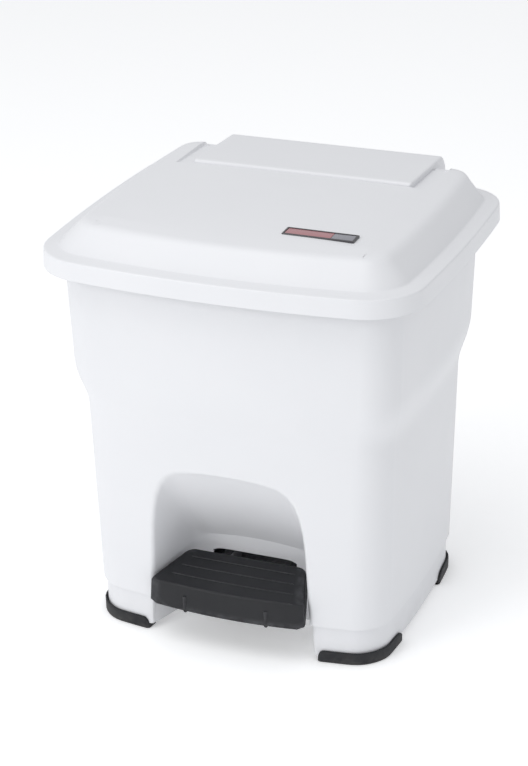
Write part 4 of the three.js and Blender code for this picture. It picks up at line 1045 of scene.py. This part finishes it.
def badge():
    """A plain plate let into the lid: a dark frame round two plain fields."""
    place = (BADGE_X, BADGE_Y, BADGE_Z)
    long, wide = BADGE_HALF_LONG, BADGE_HALF_WIDE
    outer = plate(-long, long, wide, -0.7, 1.2)
    long, wide = long - BADGE_FRAME_EDGE, wide - BADGE_FRAME_EDGE
    inner = plate(-long, long, wide, 0.1, 1.2, 0)
    skin = Skin().grid(outer + [inner[-1], inner[0]], closed=True).fan(outer[0]).fan(inner[0])
    skin.turn_and_move(BADGE_TILT, place)
    piece("badge_plate_frame", skin, "lid", "badge_frame", BADGE_FRAME, ["badge_frame"], bevel=0)
    long, wide = BADGE_HALF_LONG - BADGE_FIELD_EDGE, BADGE_HALF_WIDE - BADGE_FIELD_EDGE
    split, seam = 12.0, 0.15
    for name, x0, x1, material, nodes in (("long", -long, split - seam, BADGE_RED, ["badge_insert"]),
                                          ("short", split + seam, long, BADGE_GREY, ())):
        field = solid(plate(x0, x1, wide, 0.15, 0.85, 0.25)).turn_and_move(BADGE_TILT, place)
        piece("badge_field_" + name, field, "lid", "badge_insert", material, nodes, bevel=0)


def white(name, skin, material, nodes=(), body="bin", **shape):
    piece(name, skin, body, "white_plastic", material, nodes, **shape)


white("outer_body_shell", outer_body(), WHITE_BODY, ["outer_body"], wall=BODY_WALL, bevel=0.5)
white("base_skirt", base_skirt(), WHITE_BASE, ["base_frame"], wall=BASE_WALL, bevel=0.5)
white("base_floor", base_floor(), WHITE_BASE)
white("base_lip", inner_lip(), WHITE_BASE, wall=2.2)
POST = [(PEDAL_Y - POST_RADIUS, FLOOR_Z + 3), (PEDAL_Y + POST_RADIUS, FLOOR_Z + 3)]
POST += round_end(PEDAL_Y, PEDAL_Z, POST_RADIUS, 0, math.pi, 18)
for hand, side in (("left", -1), ("right", 1)):
    for end in ("front", "rear"):
        foot = f"foot_{end}_{hand}"
        skin = rubber_foot(side, end == "front")
        piece(foot + "_rubber", skin, "bin", "foot_rubber", RUBBER, [foot], bevel=0)
    white("pedal_bearing_" + hand, slab(POST, 43.5 * side, 52.5 * side), WHITE_BASE, bevel=0.8)
    bracket = "hinge_bracket_" + hand
    white(bracket + "_moulding", hinge_bracket(side), WHITE_BODY, [bracket], bevel=0.8)

piece("bucket_shell", inner_bucket(), "bin", "bucket_plastic", BUCKET, ["inner_bucket"], bevel=0)
piece("bag_ring_hoop", bag_ring(), "bin", "black_plastic", BLACK, ["bag_ring"], bevel=0)
white("rear_cover_channel", rear_cover(), WHITE_BODY, ["rear_cover"], wall=2.5, bevel=0.5)

THIN_LID = dict(body="lid", sharp=60, even=False)
white("lid_panel", lid_panel(), WHITE_LID, ["lid_shell"], wall=LID_WALL, **THIN_LID)
white("hinge_hood_cover", hinge_hood(), WHITE_LID, ["hinge_hood"], wall=HOOD_WALL, **THIN_LID)
badge()


def black(name, skin, nodes=(), **shape):
    piece(name, skin, "pedal", "pedal_plastic", PEDAL, nodes, sharp=60, **shape)


black("pedal_step", pedal_step(), ["pedal_tread"], wall=2.8)
for k, y in enumerate(RIB_Y, 1):
    black(f"pedal_rib_{k}", pedal_rib(y), bevel=0)
for hand, x in (("left", -43), ("right", 43)):
    black("pedal_nub_" + hand, pin(x, -151.6, 36.9, 55, 2.2), bevel=0)

for stem, facing, body in (("foot_screw", DOWN, "bin"), ("bracket_screw", BACKWARD, "bin"),
                           ("cover_screw", BACKWARD, "bin"), ("hood_screw", DOWN, "lid")):
    for k in range(1, 5):
        screw(f"{stem}_{k}_cross_head", f"{stem}_{k}", facing, body)

FINISHES = {
    BUFFER: ["lid_buffer"],
    NYLON: ["pedal_bush", "rod_guide"],
    BLACK: ["rod_collar", "rod_head", "rod_foot", "damper_cylinder"],
    STEEL_BAR: ["pedal_lever"],
    STEEL: ["hinge_shaft", "crank", "push_rod", "return_spring", "damper_piston", "axle_clip", "pedal_axle",
            "lever_pin", "tread_screw"],
}
FINISH_OF = {stem: finish for finish, stems in FINISHES.items() for stem in stems}
for name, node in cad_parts.items():
    if not node.hide_render:
        finish = next((m for stem, m in FINISH_OF.items() if name.startswith(stem)), WHITE_BODY)
        node.data.materials.clear()
        node.data.materials.append(finish)


# ---- floor, light and camera ----
def studio():
    world = bpy.data.worlds.new("studio_white")
    bpy.context.scene.world = world
    world.use_nodes = True
    background = world.node_tree.nodes["Background"]
    background.inputs["Color"].default_value = (0.97, 0.98, 1.0, 1)
    background.inputs["Strength"].default_value = 0.62
    bpy.ops.mesh.primitive_plane_add(size=60, location=(0, 0, -0.0004))
    floor = bpy.context.object
    floor.name = "studio_floor"
    material, _, principled, _ = shader("pale_floor")
    look = {"Base Color": (0.95, 0.955, 0.96, 1), "Roughness": 0.9, "Emission Color": (1, 1, 1, 1),
            "Emission Strength": 0.26}
    for label, value in look.items():
        principled.inputs[label].default_value = value
    floor.data.materials.append(material)
    area("low_key", (-1.15, -2.25, 1.45), 1.0, 15)
    area("top_fill", (-0.35, -0.75, 2.6), 2.0, 21)


def area(name, place, size, power):
    """A square lamp turned to the middle of the bin."""
    lamp = bpy.data.lights.new(name, "AREA")
    lamp.shape = "RECTANGLE"
    lamp.size = lamp.size_y = size
    lamp.energy = power
    obj = linked(name, lamp)
    obj.location = place
    obj.rotation_euler = (Vector((0, 0, 0.2)) - Vector(place)).to_track_quat("-Z", "Y").to_euler()


CAMERA_PLACE = (0.7505621, -1.877647, 1.1329369)
YAW, PITCH, ROLL = 0.3877401, 0.4202402, -0.0177623
FOCAL_LENGTH, SENSOR = 103.09394, 36.0


def camera():
    lens = bpy.data.cameras.new("view")
    lens.sensor_width = SENSOR
    lens.lens = FOCAL_LENGTH
    lens.clip_start, lens.clip_end = 0.05, 50
    obj = linked("view", lens)
    turns = (YAW, "Z"), (math.pi / 2 - PITCH, "X"), (ROLL, "Z")
    heading, tilt, roll = (Matrix.Rotation(angle, 4, axis) for angle, axis in turns)
    obj.matrix_world = Matrix.Translation(CAMERA_PLACE) @ heading @ tilt @ roll
    bpy.context.scene.camera = obj


studio()
camera()
bpy.context.scene.view_settings.view_transform = "Standard"
